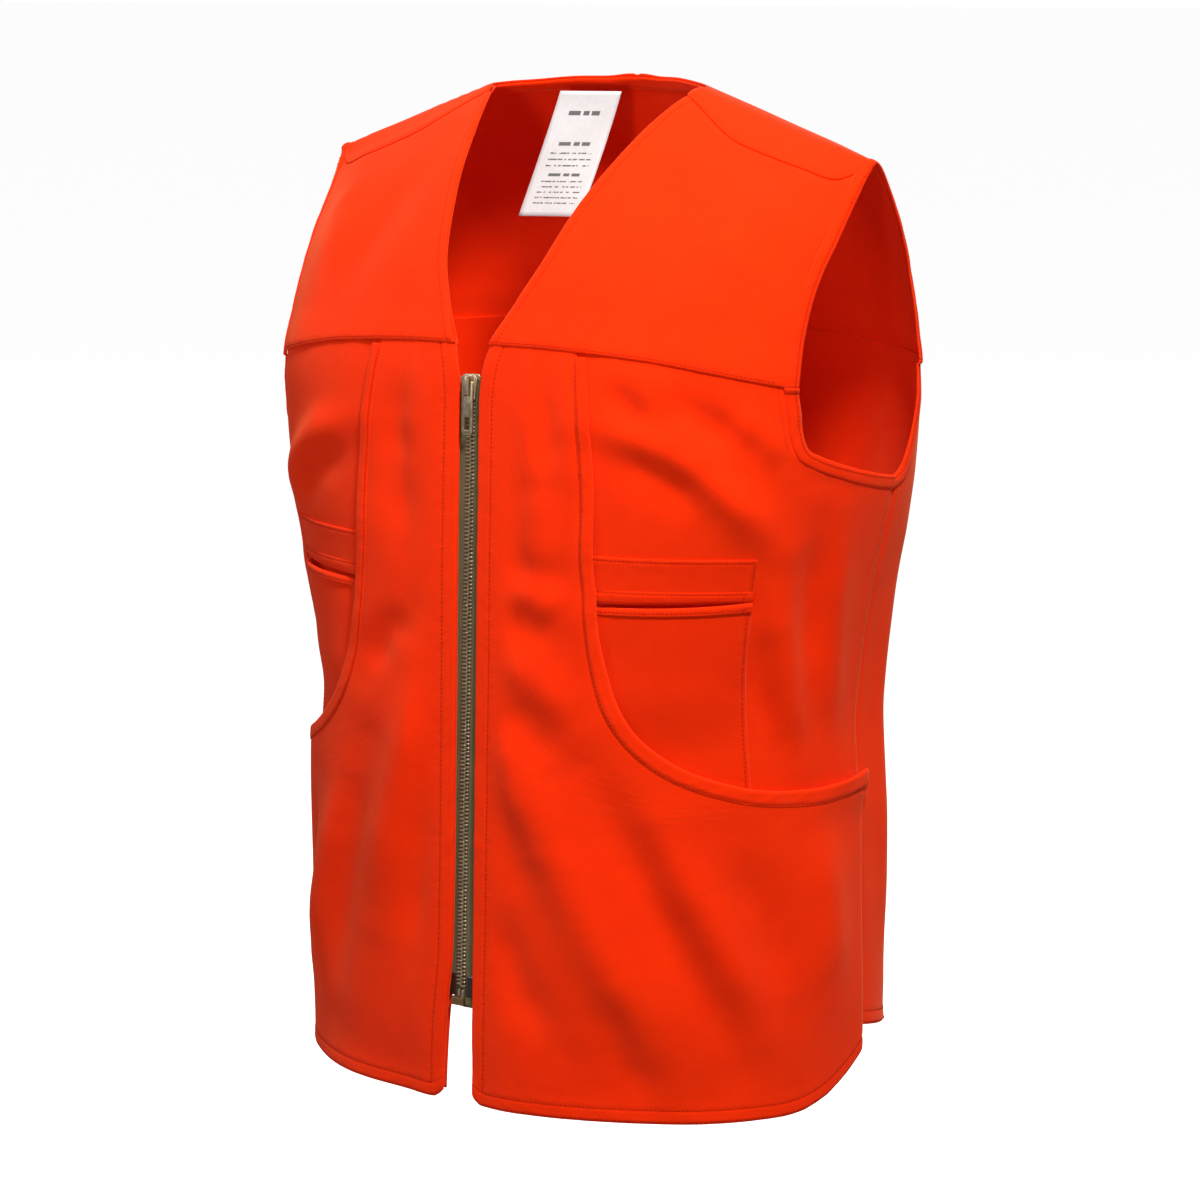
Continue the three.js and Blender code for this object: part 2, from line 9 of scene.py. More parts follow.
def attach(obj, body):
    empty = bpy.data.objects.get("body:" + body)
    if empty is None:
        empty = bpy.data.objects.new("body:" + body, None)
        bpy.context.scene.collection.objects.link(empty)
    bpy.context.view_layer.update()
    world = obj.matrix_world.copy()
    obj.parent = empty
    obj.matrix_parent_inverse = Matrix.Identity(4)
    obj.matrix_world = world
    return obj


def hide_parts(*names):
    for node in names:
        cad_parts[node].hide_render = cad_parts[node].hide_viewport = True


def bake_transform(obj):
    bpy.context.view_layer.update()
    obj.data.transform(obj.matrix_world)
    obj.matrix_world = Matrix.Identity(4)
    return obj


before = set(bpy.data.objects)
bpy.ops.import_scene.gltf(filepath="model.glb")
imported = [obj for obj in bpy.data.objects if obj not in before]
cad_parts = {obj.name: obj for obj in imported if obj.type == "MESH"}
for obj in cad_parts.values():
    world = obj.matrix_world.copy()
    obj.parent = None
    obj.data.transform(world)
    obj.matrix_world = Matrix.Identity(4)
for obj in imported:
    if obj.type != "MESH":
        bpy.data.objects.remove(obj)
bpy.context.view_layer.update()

# Lengths are millimetres in the sewing code and metres in Blender. s runs from the centre line, 0, to the side
# seam, 1, and is negative on the -X side. v runs up the front from the hem, 0, over the chest line, 1, and the
# shoulder ridge, 2, and down the back to the chest line, 3, and the back hem, near 4.
MM = 0.001

# ---- camera and light ----------------------------------------------------------------------------
AIM = Vector((0.0, 0.0, -0.320))
AZIMUTH, ELEVATION, DISTANCE = math.radians(35), math.radians(9), 2.5
LENS, SENSOR, SHIFT = 112.5, 36, (-0.0042, -0.025)
WORLD_LIGHTS, WORLD_SEEN = 0.24, 1.0


def add_camera():
    """Looks at the vest from its right and a little above."""
    data = bpy.data.cameras.new("camera")
    data.lens, data.sensor_width = LENS, SENSOR
    data.shift_x, data.shift_y = SHIFT
    cam = bpy.data.objects.new("camera", data)
    away = Vector((math.sin(AZIMUTH) * math.cos(ELEVATION), -math.cos(AZIMUTH) * math.cos(ELEVATION),
                   math.sin(ELEVATION)))
    cam.location = AIM + DISTANCE * away
    cam.rotation_euler = (-away).to_track_quat("-Z", "Y").to_euler()
    bpy.context.collection.objects.link(cam)
    bpy.context.scene.camera = cam


def lamp(name, kind, place, aim, **settings):
    """A lamp at a place, turned towards its aim."""
    data = bpy.data.lights.new(name, kind)
    for key, value in settings.items():
        setattr(data, key, value)
    obj = bpy.data.objects.new(name, data)
    obj.location = place
    obj.rotation_euler = (Vector(aim) - Vector(place)).to_track_quat("-Z", "Y").to_euler()
    bpy.context.collection.objects.link(obj)


def soft_light(name, place, watts, size):
    """A round soft box, size metres across."""
    lamp(name, "AREA", place, AIM, energy=watts, shape="DISK", size=size)


add_camera()
soft_light("key_light", (1.1, -0.85, 1.5), 52, 0.4)
soft_light("top_light", (0.25, -0.45, 2.2), 30, 1.0)
soft_light("fill_light", (-1.5, -2.1, 0.9), 13, 0.9)
soft_light("back_light", (-0.4, 2.2, 1.4), 24, 1.4)
# A narrow beam from low in front reaches the inside of the back through the neck.
lamp("neck_light", "SPOT", (0.5, -2.4, -0.7), (-0.01, 0.03, -0.03), energy=60, spot_size=math.radians(12),
     spot_blend=0.9, shadow_soft_size=0.2)


def map_range(tree, value, **ends):
    """The value mapped from one range to another. Ends that aren't given are 0 and 1."""
    node = tree.nodes.new("ShaderNodeMapRange")
    for key, number in ends.items():
        node.inputs[key.replace("_", " ")].default_value = number
    tree.links.new(value, node.inputs["Value"])
    return node.outputs[0]


def add_world():
    """A white studio that the camera sees brighter than it lights."""
    world = bpy.data.worlds.new("studio")
    world.use_nodes = True
    tree = world.node_tree
    back = tree.nodes["Background"]
    back.inputs["Color"].default_value = (1, 1, 1, 1)
    seen = tree.nodes.new("ShaderNodeLightPath").outputs["Is Camera Ray"]
    level = map_range(tree, seen, To_Min=WORLD_LIGHTS, To_Max=WORLD_SEEN)
    tree.links.new(level, back.inputs["Strength"])
    bpy.context.scene.world = world


add_world()
bpy.context.scene.view_settings.view_transform = "Standard"

# ---- the form the vest hangs on ------------------------------------------------------------------
HEM_Z, CHEST_Z = -645.0, -195.0
RISE = CHEST_Z - HEM_Z             # from v = 0 to v = 1
RIDGE_TOP, RIDGE_FALL, RIDGE_EASE, RIDGE_BACK = 29.4, 0.35, 12, 10
HEM_DEPTH, ZIP_LEAN, ZIP_EDGE, CLOTH = 165.3, 0.038, 7.5, 1.2


def table(xs, ys):
    """A smooth curve through the points, flat beyond its ends."""
    xs, ys = np.array(xs, float), np.array(ys, float)
    m = np.empty_like(ys)
    m[1:-1] = (ys[2:] - ys[:-2]) / (xs[2:] - xs[:-2])
    m[0], m[-1] = (ys[1] - ys[0]) / (xs[1] - xs[0]), (ys[-1] - ys[-2]) / (xs[-1] - xs[-2])

    def at(x):
        x = np.clip(x, xs[0], xs[-1])
        i = np.clip(np.searchsorted(xs, x, side="right") - 1, 0, len(xs) - 2)
        h = xs[i + 1] - xs[i]
        t = (x - xs[i]) / h
        return ((2 * t**3 - 3 * t**2 + 1) * ys[i] + (t**3 - 2 * t**2 + t) * h * m[i]
                + (3 * t**2 - 2 * t**3) * ys[i + 1] + (t**3 - t**2) * h * m[i + 1])
    return at


LEVELS = [-645, -560, -445, -390, -322, -251, -195]
half_width = table(LEVELS, [204, 201, 198, 196, 205, 220, 224])
back_depth = table(LEVELS, [118, 112, 104, 102, 103, 108, 110])
squareness = table(LEVELS, [2.2, 2.2, 2.2, 2.2, 2.3, 2.45, 2.5])
shoulder_width = table([0, 0.4, 0.7, 1], [224, 222, 219, 214])


def smooth(a, b, x):
    """0 where x is a, 1 where it is b, and eased between."""
    t = np.clip((x - a) / (b - a), 0, 1)
    return t * t * (3 - 2 * t)


def form(s, v):
    """Points of the form at s and v, as an array of x, y, z."""
    s, v = np.broadcast_arrays(np.asarray(s, float), np.asarray(v, float))
    S, back = np.minimum(np.abs(s), 1), v > 2
    w = np.where(back, 4 - v, v)
    z1 = HEM_Z + RISE * np.clip(w, 0, 1)
    n, th = squareness(z1), S * math.pi / 2
    X, Y = np.sin(th) ** (2 / n), np.maximum(np.cos(th), 0) ** (2 / n)
    al = np.clip(w - 1, 0, 1) * math.pi / 2
    t, c = np.sin(al), np.maximum(np.cos(al), 0)
    x = np.where(w > 1, shoulder_width(t), half_width(z1)) * X
    ridge = RIDGE_TOP - RIDGE_FALL * np.hypot(x, RIDGE_EASE)
    z = np.where(w > 1, CHEST_Z + (ridge - CHEST_Z) * t, z1 + np.where(w < 0, w * RISE, 0))
    front = HEM_DEPTH - ZIP_LEAN * (np.where(w > 1, z, z1) - HEM_Z)
    y = np.where(back, back_depth(z1) * Y * c, -front * Y * c**1.8) - RIDGE_BACK * t * t
    return np.stack([np.where(s < 0, -x, x), y, z], -1)


def unit(a):
    return a / np.maximum(np.linalg.norm(a, axis=-1, keepdims=True), 1e-9)


def outward(s, v):
    """Directions at right angles to the form."""
    e = 0.004
    S = np.clip(s, e - 1, 1 - e)
    return unit(np.cross(form(S + e, v) - form(S - e, v), form(S, v + e) - form(S, v - e)))


def s_at(x, v):
    """s of the point x mm from the centre line."""
    v = np.asarray(v, float)
    w = np.where(v > 2, 4 - v, v)
    z1 = HEM_Z + RISE * np.clip(w, 0, 1)
    a = np.where(w > 1, shoulder_width(np.sin((w - 1) * math.pi / 2)), half_width(z1))
    return np.arcsin(np.minimum(x / a, 1) ** (squareness(z1) / 2)) * 2 / math.pi


# ---- sewing lines, as (s, v) stations on the +X side ---------------------------------------------
HEM_CORNER = 0.065                 # how far the front hem rises at the side seam
BACK_HEM, BACK_HEM_RISE = 3.95, 0.05


def front_hem(s):
    return HEM_CORNER * np.maximum((s - 0.72) / 0.28, 0) ** 2


def back_hem(s):
    return BACK_HEM - BACK_HEM_RISE * s * s


yoke_seam = table([0, 0.115, 0.3, 0.43, 0.64], [1.108, 1.115, 1.113, 1.1, 1.07])
shoulder_seam = table([0.18, 0.312, 0.415, 0.55, 0.673, 0.76], [1.845, 1.73, 1.71, 1.702, 1.706, 1.775])
V_NECK = [[0.018, 1.108], [0.043, 1.19], [0.07, 1.278], [0.098, 1.41], [0.123, 1.528], [0.155, 1.69],
          [0.183, 1.843]]
NECKLINE = [[0.183, 1.849], [0.19, 1.92], [0.201, 2.0], [0.159, 2.11], [0.078, 2.2], [0.03, 2.251],
            [0, 2.27]]
ARM_FRONT = [[1, 0.883], [0.94, 0.89], [0.85, 0.903], [0.742, 0.923], [0.688, 0.94], [0.66, 0.975],
             [0.65, 1.02], [0.642, 1.07]]
ARM_YOKE = [[0.642, 1.07], [0.645, 1.15], [0.648, 1.22], [0.655, 1.31], [0.67, 1.398], [0.69, 1.477],
            [0.713, 1.58], [0.735, 1.678], [0.757, 1.775]]
ARM_SHOULDER = [[0.757, 1.775], [0.785, 1.89], [0.805, 2.0], [0.785, 2.15], [0.755, 2.32], [0.738, 2.48],
                [0.73, 2.64], [0.745, 2.8], [0.76, 2.9]]
ARM_BACK = [[0.76, 2.9], [0.785, 2.96], [0.82, 3.01], [0.855, 3.045], [0.912, 3.085], [0.955, 3.107],
            [1, 3.117]]
MOUTH_EDGE = [[0.19, 1.108], [0.205, 1.0], [0.222, 0.9], [0.242, 0.797], [0.262, 0.743], [0.275, 0.7],
              [0.302, 0.647], [0.333, 0.6], [0.377, 0.558], [0.443, 0.523], [0.512, 0.5], [0.585, 0.485],
              [0.65, 0.475], [0.728, 0.469], [0.828, 0.467], [0.91, 0.47], [1, 0.478]]
MOUTH_STITCH = [[0.167, 1.108], [0.18, 1.0], [0.195, 0.9], [0.213, 0.797], [0.23, 0.75], [0.245, 0.7],
                [0.27, 0.64], [0.3, 0.59], [0.345, 0.545], [0.412, 0.506], [0.486, 0.481], [0.567, 0.464],
                [0.64, 0.453], [0.728, 0.446], [0.835, 0.443], [0.915, 0.445], [1, 0.45]]

# ---- folds ---------------------------------------------------------------------------------------
# Each fold is a line of (s, v) points with its height and half width in mm. A negative height is a valley.
FOLDS = [
    # +X front, beside the pocket mouth and above the chest pocket
    ([(0.21, 0.985), (0.3, 0.965), (0.42, 0.925), (0.55, 0.87), (0.68, 0.81)], 3.6, 13),
    ([(0.24, 0.945), (0.36, 0.92), (0.48, 0.875)], -2.6, 12),
    ([(0.3, 1.03), (0.42, 1.0), (0.55, 0.965)], -2.6, 11),
    ([(0.5, 1.0), (0.6, 0.97), (0.66, 0.93)], 1.8, 10),
    ([(0.68, 0.8), (0.7, 0.7), (0.74, 0.6), (0.8, 0.51)], 4.0, 14),
    ([(0.66, 0.72), (0.68, 0.62), (0.72, 0.54)], -2.4, 10),
    ([(0.84, 0.86), (0.86, 0.74), (0.88, 0.62), (0.92, 0.5)], 2.6, 13),
    ([(0.78, 0.84), (0.79, 0.74), (0.83, 0.62)], -2.0, 12),
    # +X apron, between the zip and the mouth
    ([(0.055, 0.8), (0.1, 0.775), (0.16, 0.765), (0.21, 0.76)], -1.6, 12),
    ([(0.07, 0.75), (0.13, 0.742), (0.2, 0.715)], 1.6, 13),
    ([(0.06, 0.69), (0.12, 0.7), (0.19, 0.675)], -1.3, 13),
    ([(0.06, 0.655), (0.11, 0.64), (0.17, 0.61), (0.24, 0.56)], 1.7, 14),
    ([(0.09, 0.59), (0.14, 0.56), (0.2, 0.5)], -1.4, 14),
    ([(0.06, 0.57), (0.1, 0.48), (0.16, 0.38)], 2.0, 15),
    ([(0.07, 0.47), (0.11, 0.39), (0.16, 0.3)], -1.5, 14),
    ([(0.14, 0.5), (0.2, 0.38), (0.3, 0.25), (0.4, 0.13), (0.45, 0.06)], 3.4, 17),
    ([(0.28, 0.5), (0.36, 0.41), (0.45, 0.3), (0.56, 0.17), (0.62, 0.08)], -3.6, 15),
    ([(0.42, 0.42), (0.5, 0.32), (0.6, 0.2), (0.66, 0.12)], 3.2, 15),
    ([(0.6, 0.4), (0.68, 0.28), (0.74, 0.16)], -2.6, 16),
    ([(0.82, 0.42), (0.86, 0.3), (0.88, 0.16)], 2.8, 16),
    ([(0.05, 0.3), (0.12, 0.2), (0.2, 0.1)], -2.6, 14),
    ([(0.3, 0.2), (0.36, 0.1), (0.42, 0.02)], -1.6, 12),
    ([(0.07, 1.06), (0.09, 0.98), (0.11, 0.88)], 1.4, 10),
    ([(0.1, 1.07), (0.12, 0.99), (0.14, 0.9)], -1.6, 9),
    ([(0.15, 1.08), (0.155, 0.98), (0.165, 0.88)], 1.2, 9),
    ([(0.06, 0.92), (0.075, 0.84), (0.08, 0.75)], -1.3, 9),
    ([(0.1, 0.9), (0.115, 0.82), (0.13, 0.75)], 1.3, 10),
    ([(0.24, 1.08), (0.3, 1.055), (0.38, 1.0), (0.44, 0.95)], 1.8, 11),
    ([(0.22, 1.05), (0.27, 1.02), (0.33, 0.98)], -1.8, 9),
    # -X front
    ([(-0.06, 1.05), (-0.08, 0.96), (-0.1, 0.86)], 1.4, 10),
    ([(-0.1, 1.06), (-0.12, 0.98), (-0.13, 0.9)], -1.3, 9),
    ([(-0.07, 0.62), (-0.12, 0.5), (-0.16, 0.38), (-0.2, 0.24)], 3.4, 15),
    ([(-0.1, 0.7), (-0.18, 0.66), (-0.24, 0.6)], -2.4, 11),
    ([(-0.05, 0.46), (-0.07, 0.34), (-0.1, 0.2)], -2.8, 13),
    ([(-0.24, 0.5), (-0.3, 0.36), (-0.34, 0.2), (-0.36, 0.08)], -3.2, 15),
    ([(-0.3, 0.44), (-0.4, 0.3), (-0.5, 0.14)], 3.2, 16),
    ([(-0.5, 0.42), (-0.6, 0.26), (-0.66, 0.12)], -3.0, 16),
    ([(-0.78, 0.42), (-0.84, 0.26), (-0.86, 0.12)], 2.8, 16),
    ([(-0.22, 0.97), (-0.36, 0.94), (-0.52, 0.88), (-0.66, 0.8)], 3.2, 13),
    ([(-0.26, 0.92), (-0.4, 0.88), (-0.5, 0.83)], -2.2, 12),
    ([(-0.66, 0.8), (-0.72, 0.68), (-0.78, 0.54)], 3.2, 14),
    ([(-0.84, 0.84), (-0.87, 0.7), (-0.92, 0.52)], 2.2, 13),
    ([(-0.08, 0.98), (-0.1, 0.9), (-0.12, 0.8)], -1.8, 12),
    # yokes
    ([(0.52, 1.62), (0.48, 1.45), (0.42, 1.28)], 1.8, 22),
    ([(0.25, 1.6), (0.3, 1.4), (0.36, 1.22)], -1.4, 20),
    ([(-0.52, 1.6), (-0.46, 1.42), (-0.4, 1.26)], 1.8, 22),
    ([(-0.22, 1.56), (-0.28, 1.36), (-0.36, 1.2)], -1.6, 18),
    # back
    ([(0.0, 2.9), (0.03, 3.2), (0.05, 3.6), (0.04, 3.86)], -2.4, 26),
    ([(0.4, 3.0), (0.36, 3.3), (0.3, 3.6), (0.28, 3.9)], 4.0, 22),
    ([(-0.42, 3.0), (-0.38, 3.3), (-0.33, 3.6), (-0.28, 3.9)], 4.0, 22),
    ([(0.66, 3.1), (0.6, 3.35), (0.56, 3.6)], -3.0, 18),
    ([(-0.66, 3.1), (-0.6, 3.35), (-0.55, 3.62)], -3.0, 18),
    ([(0.84, 3.2), (0.82, 3.5), (0.78, 3.85)], 3.2, 18),
    ([(-0.86, 3.2), (-0.82, 3.5), (-0.8, 3.85)], 3.2, 18),
    ([(0.1, 3.32), (0.3, 3.36), (0.5, 3.34)], -1.8, 16),
    ([(-0.12, 3.4), (-0.32, 3.44), (-0.5, 3.42)], -1.8, 16),
]
FOLD_GAIN = 2.0
HALF_GIRTH, CHEST_TO_RIDGE = 265, 235          # mm of cloth for one unit of s, and of v between 1 and 3


def on_cloth(s, v):
    """Flat cloth coordinates in mm of s and v, near enough for laying out folds."""
    up = RISE * np.minimum(v, 1) + CHEST_TO_RIDGE * np.clip(v - 1, 0, 2) + RISE * np.maximum(v - 3, 0)
    return np.stack([HALF_GIRTH * np.asarray(s, float), up], -1)


def fold_height(s, v):
    """Height in mm of all the folds at s and v. They die away at the zip, the shoulder ridge and the neck."""
    here = on_cloth(s, v)
    high = np.zeros(here.shape[:-1])
    for line, height, half in FOLDS:
        knots = on_cloth(*np.array(line).T)
        spans = np.linalg.norm(np.diff(knots, axis=0), axis=1)
        start = np.concatenate([[0], np.cumsum(spans)])
        best, run = np.full(high.shape, 1e9), np.zeros(high.shape)
        for a, b, length, before in zip(knots, knots[1:], spans, start):
            t = np.clip(((here - a) @ (b - a)) / length**2, 0, 1)
            gap = np.linalg.norm(here - (a + t[..., None] * (b - a)), axis=-1)
            near = gap < best
            best, run = np.where(near, gap, best), np.where(near, (before + t * length) / start[-1], run)
        taper = smooth(-0.02, 0.35, run) * (1 - smooth(0.65, 1.02, run))
        ends = (0.25 + 0.75 * taper) * smooth(0, 0.12, taper + 0.1)
        high += FOLD_GAIN * height * ends * np.exp(-((best / half) ** 2))
    x, y = here[..., 0], here[..., 1]          # slow unevenness all over, then ripples near the hem
    high += 0.9 * np.sin(x / 41 + 0.7 * np.sin(y / 83)) * np.sin(y / 67 + 1.3 + 0.6 * np.sin(x / 59))
    high += 0.35 * np.sin(x / 17 + y / 31 + 2 * np.sin(y / 47)) * np.sin(y / 23 - x / 37)
    low = np.where(v < 2, v, BACK_HEM - v)
    high += 1.8 * np.sin(x / 23 + np.sin(x / 61)) * (1 - smooth(0.0, 0.45, low))
    from_zip = np.abs(s) * half_width(HEM_Z)
    high *= np.where(v < 1.2, smooth(8, 24, from_zip), 1)
    ridge = np.exp(-(((v - 2) / 0.16) ** 2))
    neck = np.exp(-((s / 0.3) ** 2)) * smooth(1.5, 1.9, v) * (1 - smooth(2.4, 2.8, v))
    return high * (1 - 0.75 * ridge) * (1 - 0.7 * neck)


# ---- cutting cloth -------------------------------------------------------------------------------
EDGE_MM = [0, 0.5, 1.3, 2.4, 4, 6, 7.6, 8.6, 9.4, 10.4, 12, 15, 19]     # rows beside a sewn edge
STEP = 4.6                                                             # rows elsewhere
LEAST_AREA = 0.3001                                                    # of the flat width times length


def between(stations, n):
    """The line through the stations, smooth but never past them, as n + 1 points for each gap."""
    p = np.array(stations, float)
    d = np.diff(p, axis=0)
    m = np.zeros_like(p)
    both = d[1:] * d[:-1] > 0
    m[1:-1][both] = 2 * d[1:][both] * d[:-1][both] / (d[1:][both] + d[:-1][both])
    m[0], m[-1] = d[0], d[-1]
    t = np.linspace(0, 1, n, endpoint=False)[:, None]
    out = [(2 * t**3 - 3 * t**2 + 1) * p[i] + (t**3 - 2 * t**2 + t) * m[i] + (3 * t**2 - 2 * t**3) * p[i + 1]
           + (t**3 - t**2) * m[i + 1] for i in range(len(d))]
    return np.concatenate(out + [p[-1:]])


def travelled(points):
    """Distance in mm along the second axis of rows of points."""
    steps = np.linalg.norm(np.diff(points, axis=1), axis=-1)
    return np.concatenate([np.zeros((len(points), 1)), np.cumsum(steps, axis=1)], axis=1)


def respace(sv, side, first, last, step):
    """Rows of (s, v) spaced again: at the listed distances from each end, and evenly between."""
    run = travelled(form(side * sv[..., 0], sv[..., 1]))
    first, last = np.array(first, float), np.array(last, float)
    ends = first[-1] + last[-1]
    middle = max(int(math.ceil((run[:, -1].max() - ends) / step)) - 1, 1)
    out = []
    for row, dist in zip(sv, run):
        total = dist[-1]
        k = min(1, 0.8 * total / ends) if ends > 0 else 1          # a short row squeezes its edges
        a, b = first * k, total - last[::-1] * k
        at = np.concatenate([a, np.linspace(a[-1], b[0], middle + 2)[1:-1], b])
        out.append(np.stack([np.interp(at, dist, row[:, 0]), np.interp(at, dist, row[:, 1])], -1))
    return np.array(out)


PLAIN = (0, 0, 0, 0)                # no edge of a cut has rows of its own


class Cut:
    """A cut of cloth laid on the form: grids of s, v, point, normal and distance in mm to each of its edges.

    left and right are stations up its two sides. bend moves v by row, s and share across. corner is a station
    of the left side that keeps a point of its own. edges says which of left, right, low and top get rows."""

    def __init__(self, left, right, height, side=1, bend=None, split=8, edges=(1, 1, 1, 1), step=STEP,
                 across=40, corner=None):
        L, R = between(left, split), between(right, split)
        t = np.linspace(0, 1, across + 1)[None, :, None]
        sv = L[:, None] * (1 - t) + R[:, None] * t
        if bend is not None:
            sv[..., 1] += bend(np.arange(len(L))[:, None] / split, sv[..., 0], t[..., 0])
        near = [EDGE_MM if e else [0] for e in edges]
        sv = respace(sv, side, near[0], near[1], step)
        sv = respace(sv.transpose(1, 0, 2), side, near[2], near[3], step).transpose(1, 0, 2)
        if corner is not None:
            sv[np.abs(sv[:, 0] - corner).sum(-1).argmin(), 0] = corner
        self.s, self.v, self.side = side * sv[..., 0], sv[..., 1], side
        flat = form(self.s, self.v)
        run, rise = travelled(flat), travelled(flat.transpose(1, 0, 2)).T
        self.left, self.right = run, run[:, -1:] - run
        self.low, self.top = rise, rise[-1:] - rise
        lift = height(np.abs(self.s), self.v, self) + fold_height(self.s, self.v)
        self.p = flat + outward(self.s, self.v) * lift[..., None]
        du, dv = np.gradient(self.p, axis=1), np.gradient(self.p, axis=0)
        self.n = unit(np.cross(du, dv)) * side
        self.uv = np.stack([run, rise], -1) * MM

    def size(self):
        """Flat width and length in metres, and the cut's flat area."""
        run, rise = travelled(self.p), travelled(self.p.transpose(1, 0, 2))
        du = np.linalg.norm(np.diff(self.p, axis=1), axis=-1)
        dv = np.linalg.norm(np.diff(self.p, axis=0), axis=-1)
        area = ((du[1:] + du[:-1]) / 2 * (dv[:, 1:] + dv[:, :-1]) / 2).sum()
        w, h = round(run[:, -1].max() * MM, 4), round(rise[:, -1].max() * MM, 4)
        return w, h, float(min(max(area * MM * MM, LEAST_AREA * w * h), w * h))

    def line(self, edge, mm, trim=(0, 0)):
        """Points and normals along the cloth, mm from an edge. trim leaves mm off each end."""
        dist = getattr(self, edge)
        p, n = self.p, self.n
        if edge in ("low", "top"):
            dist, p, n = dist.T, p.transpose(1, 0, 2), n.transpose(1, 0, 2)
        pts, nrm = [], []
        for d, row, normals in zip(dist, p, n):
            order = 1 if d[-1] > d[0] else -1
            pts.append([np.interp(mm, d[::order], row[::order, k]) for k in range(3)])
            nrm.append([np.interp(mm, d[::order], normals[::order, k]) for k in range(3)])
        pts, nrm = np.array(pts), unit(np.array(nrm))
        run = np.concatenate([[0], np.cumsum(np.linalg.norm(np.diff(pts, axis=0), axis=1))])
        keep = (run >= trim[0]) & (run <= run[-1] - trim[1])
        return pts[keep], nrm[keep]


def grid_mesh(name, points, uv=None, values=None):
    """A mesh from a create_grid sheet whose vertices are moved to rows of points in mm."""
    rows, cols = points.shape[:2]
    bm = bmesh.new()
    bmesh.ops.create_grid(bm, x_segments=cols - 1, y_segments=rows - 1, size=0.5)
    me = bpy.data.meshes.new(name)
    bm.to_mesh(me)
    bm.free()
    co = np.empty(len(me.vertices) * 3)
    me.vertices.foreach_get("co", co)
    co = co.reshape(-1, 3)
    lo, hi = co.min(0), co.max(0)
    c = np.rint((co[:, 0] - lo[0]) / (hi[0] - lo[0]) * (cols - 1)).astype(int)
    r = np.rint((co[:, 1] - lo[1]) / (hi[1] - lo[1]) * (rows - 1)).astype(int)
    me.vertices.foreach_set("co", (points[r, c] * MM).ravel())
    if uv is not None:
        layer = me.uv_layers.new(name="cloth")
        loops = np.empty(len(me.loops), int)
        me.loops.foreach_get("vertex_index", loops)
        layer.data.foreach_set("uv", uv[r, c][loops].ravel())
    for key, grid in (values or {}).items():
        me.attributes.new(key, "FLOAT", "POINT").data.foreach_set("value", grid[r, c].ravel())
    me.shade_smooth()
    me.update()
    return me


def piece(name, me, follows, material, replaces=()):
    """Puts a finished mesh in the scene. It follows one body; given two bodies to blend, its place is only
    baked in.
    """
    obj = bpy.data.objects.new(name, me)
    bpy.context.collection.objects.link(obj)
    me.materials.append(material)
    if isinstance(follows, tuple):
        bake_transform(obj)
    else:
        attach(obj, follows)
    if replaces:
        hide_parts(*replaces)
    return obj


def thicken(obj, mm, side=-1):
    """Gives a sheet its thickness, inwards or, with side 0, half each way."""
    mod = obj.modifiers.new("cloth thickness", "SOLIDIFY")
    mod.thickness, mod.offset = mm * MM, side
    mod.use_even_offset = False
    mod.use_rim = True


def front_blend(side, word):
    """The two bodies of a front's cloth, each with a point: the back near the side seam and the front from the
    chest inwards.
    """
    return "back_and_shoulders", f"front_{word}", (side * 0.084, 0, 0), (side * -0.0145, 0, -0.0177)


SIDES = ((1, "right"), (-1, "left"))
FOLLOWS = {word: front_blend(side, word) for side, word in SIDES}
FOLLOWS["back"] = "back_and_shoulders"
stitches = {}                      # "right", "left" or "back" to a list of (points, normals)


def sew(key, cut, edge, mm, trim=(2, 2)):
    """Notes a line of stitches, mm from an edge of a cut."""
    stitches.setdefault(key, []).append(cut.line(edge, mm, trim))


def cloth_mesh(name, cut, seams):
    """The mesh of a cut, facing outwards, with each point's distance to the nearest line of stitches."""
    far = np.full(cut.s.shape, 60.0)
    for edge, mm in seams:
        far = np.minimum(far, np.abs(getattr(cut, edge) - mm))
    me = grid_mesh(name, cut.p, cut.uv, {"seam": far})
    if facing(me).sum() < 0:
        me.flip_normals()
    return me


def cloth_piece(name, cuts, key, replaces, seams=(), thick=CLOTH):
    """A panel of cloth from one cut, or from two halves sewn together along the centre line."""
    cuts = cuts if isinstance(cuts, list) else [cuts]
    parts = [cloth_mesh(name, cut, seams) for cut in cuts]
    me = parts[0]
    if len(parts) > 1:
        bm = bmesh.new()
        for part in parts:
            bm.from_mesh(part)
        bmesh.ops.remove_doubles(bm, verts=bm.verts, dist=2e-5)
        bm.to_mesh(me)
        bm.free()
        bpy.data.meshes.remove(parts[1])
        me.shade_smooth()
    obj = piece(name, me, FOLLOWS[key], cloth_material, replaces)
    thicken(obj, thick)
    return obj


def facing(me):
    """How far each face looks away from the middle of the body."""
    n = len(me.polygons)
    normal, centre = np.empty(n * 3), np.empty(n * 3)
    me.polygons.foreach_get("normal", normal)
    me.polygons.foreach_get("center", centre)
    normal, centre = normal.reshape(-1, 3), centre.reshape(-1, 3)
    middle = np.array([0, -0.01, 0]) + np.array([0, 0, 1]) * np.minimum(centre[:, 2:3], -0.15)
    return (normal * unit(centre - middle)).sum(1)


# ---- materials -----------------------------------------------------------------------------------
def shader_group(name, inputs, outputs):
    """An empty node group with its sockets, and its input and output nodes."""
    tree = bpy.data.node_groups.new(name, "ShaderNodeTree")
    for label, kind, value in inputs:
        socket = tree.interface.new_socket(label, in_out="INPUT", socket_type=kind)
        if value is not None:
            socket.default_value = value
    for label, kind in outputs:
        tree.interface.new_socket(label, in_out="OUTPUT", socket_type=kind)
    return tree, tree.nodes.new("NodeGroupInput"), tree.nodes.new("NodeGroupOutput")


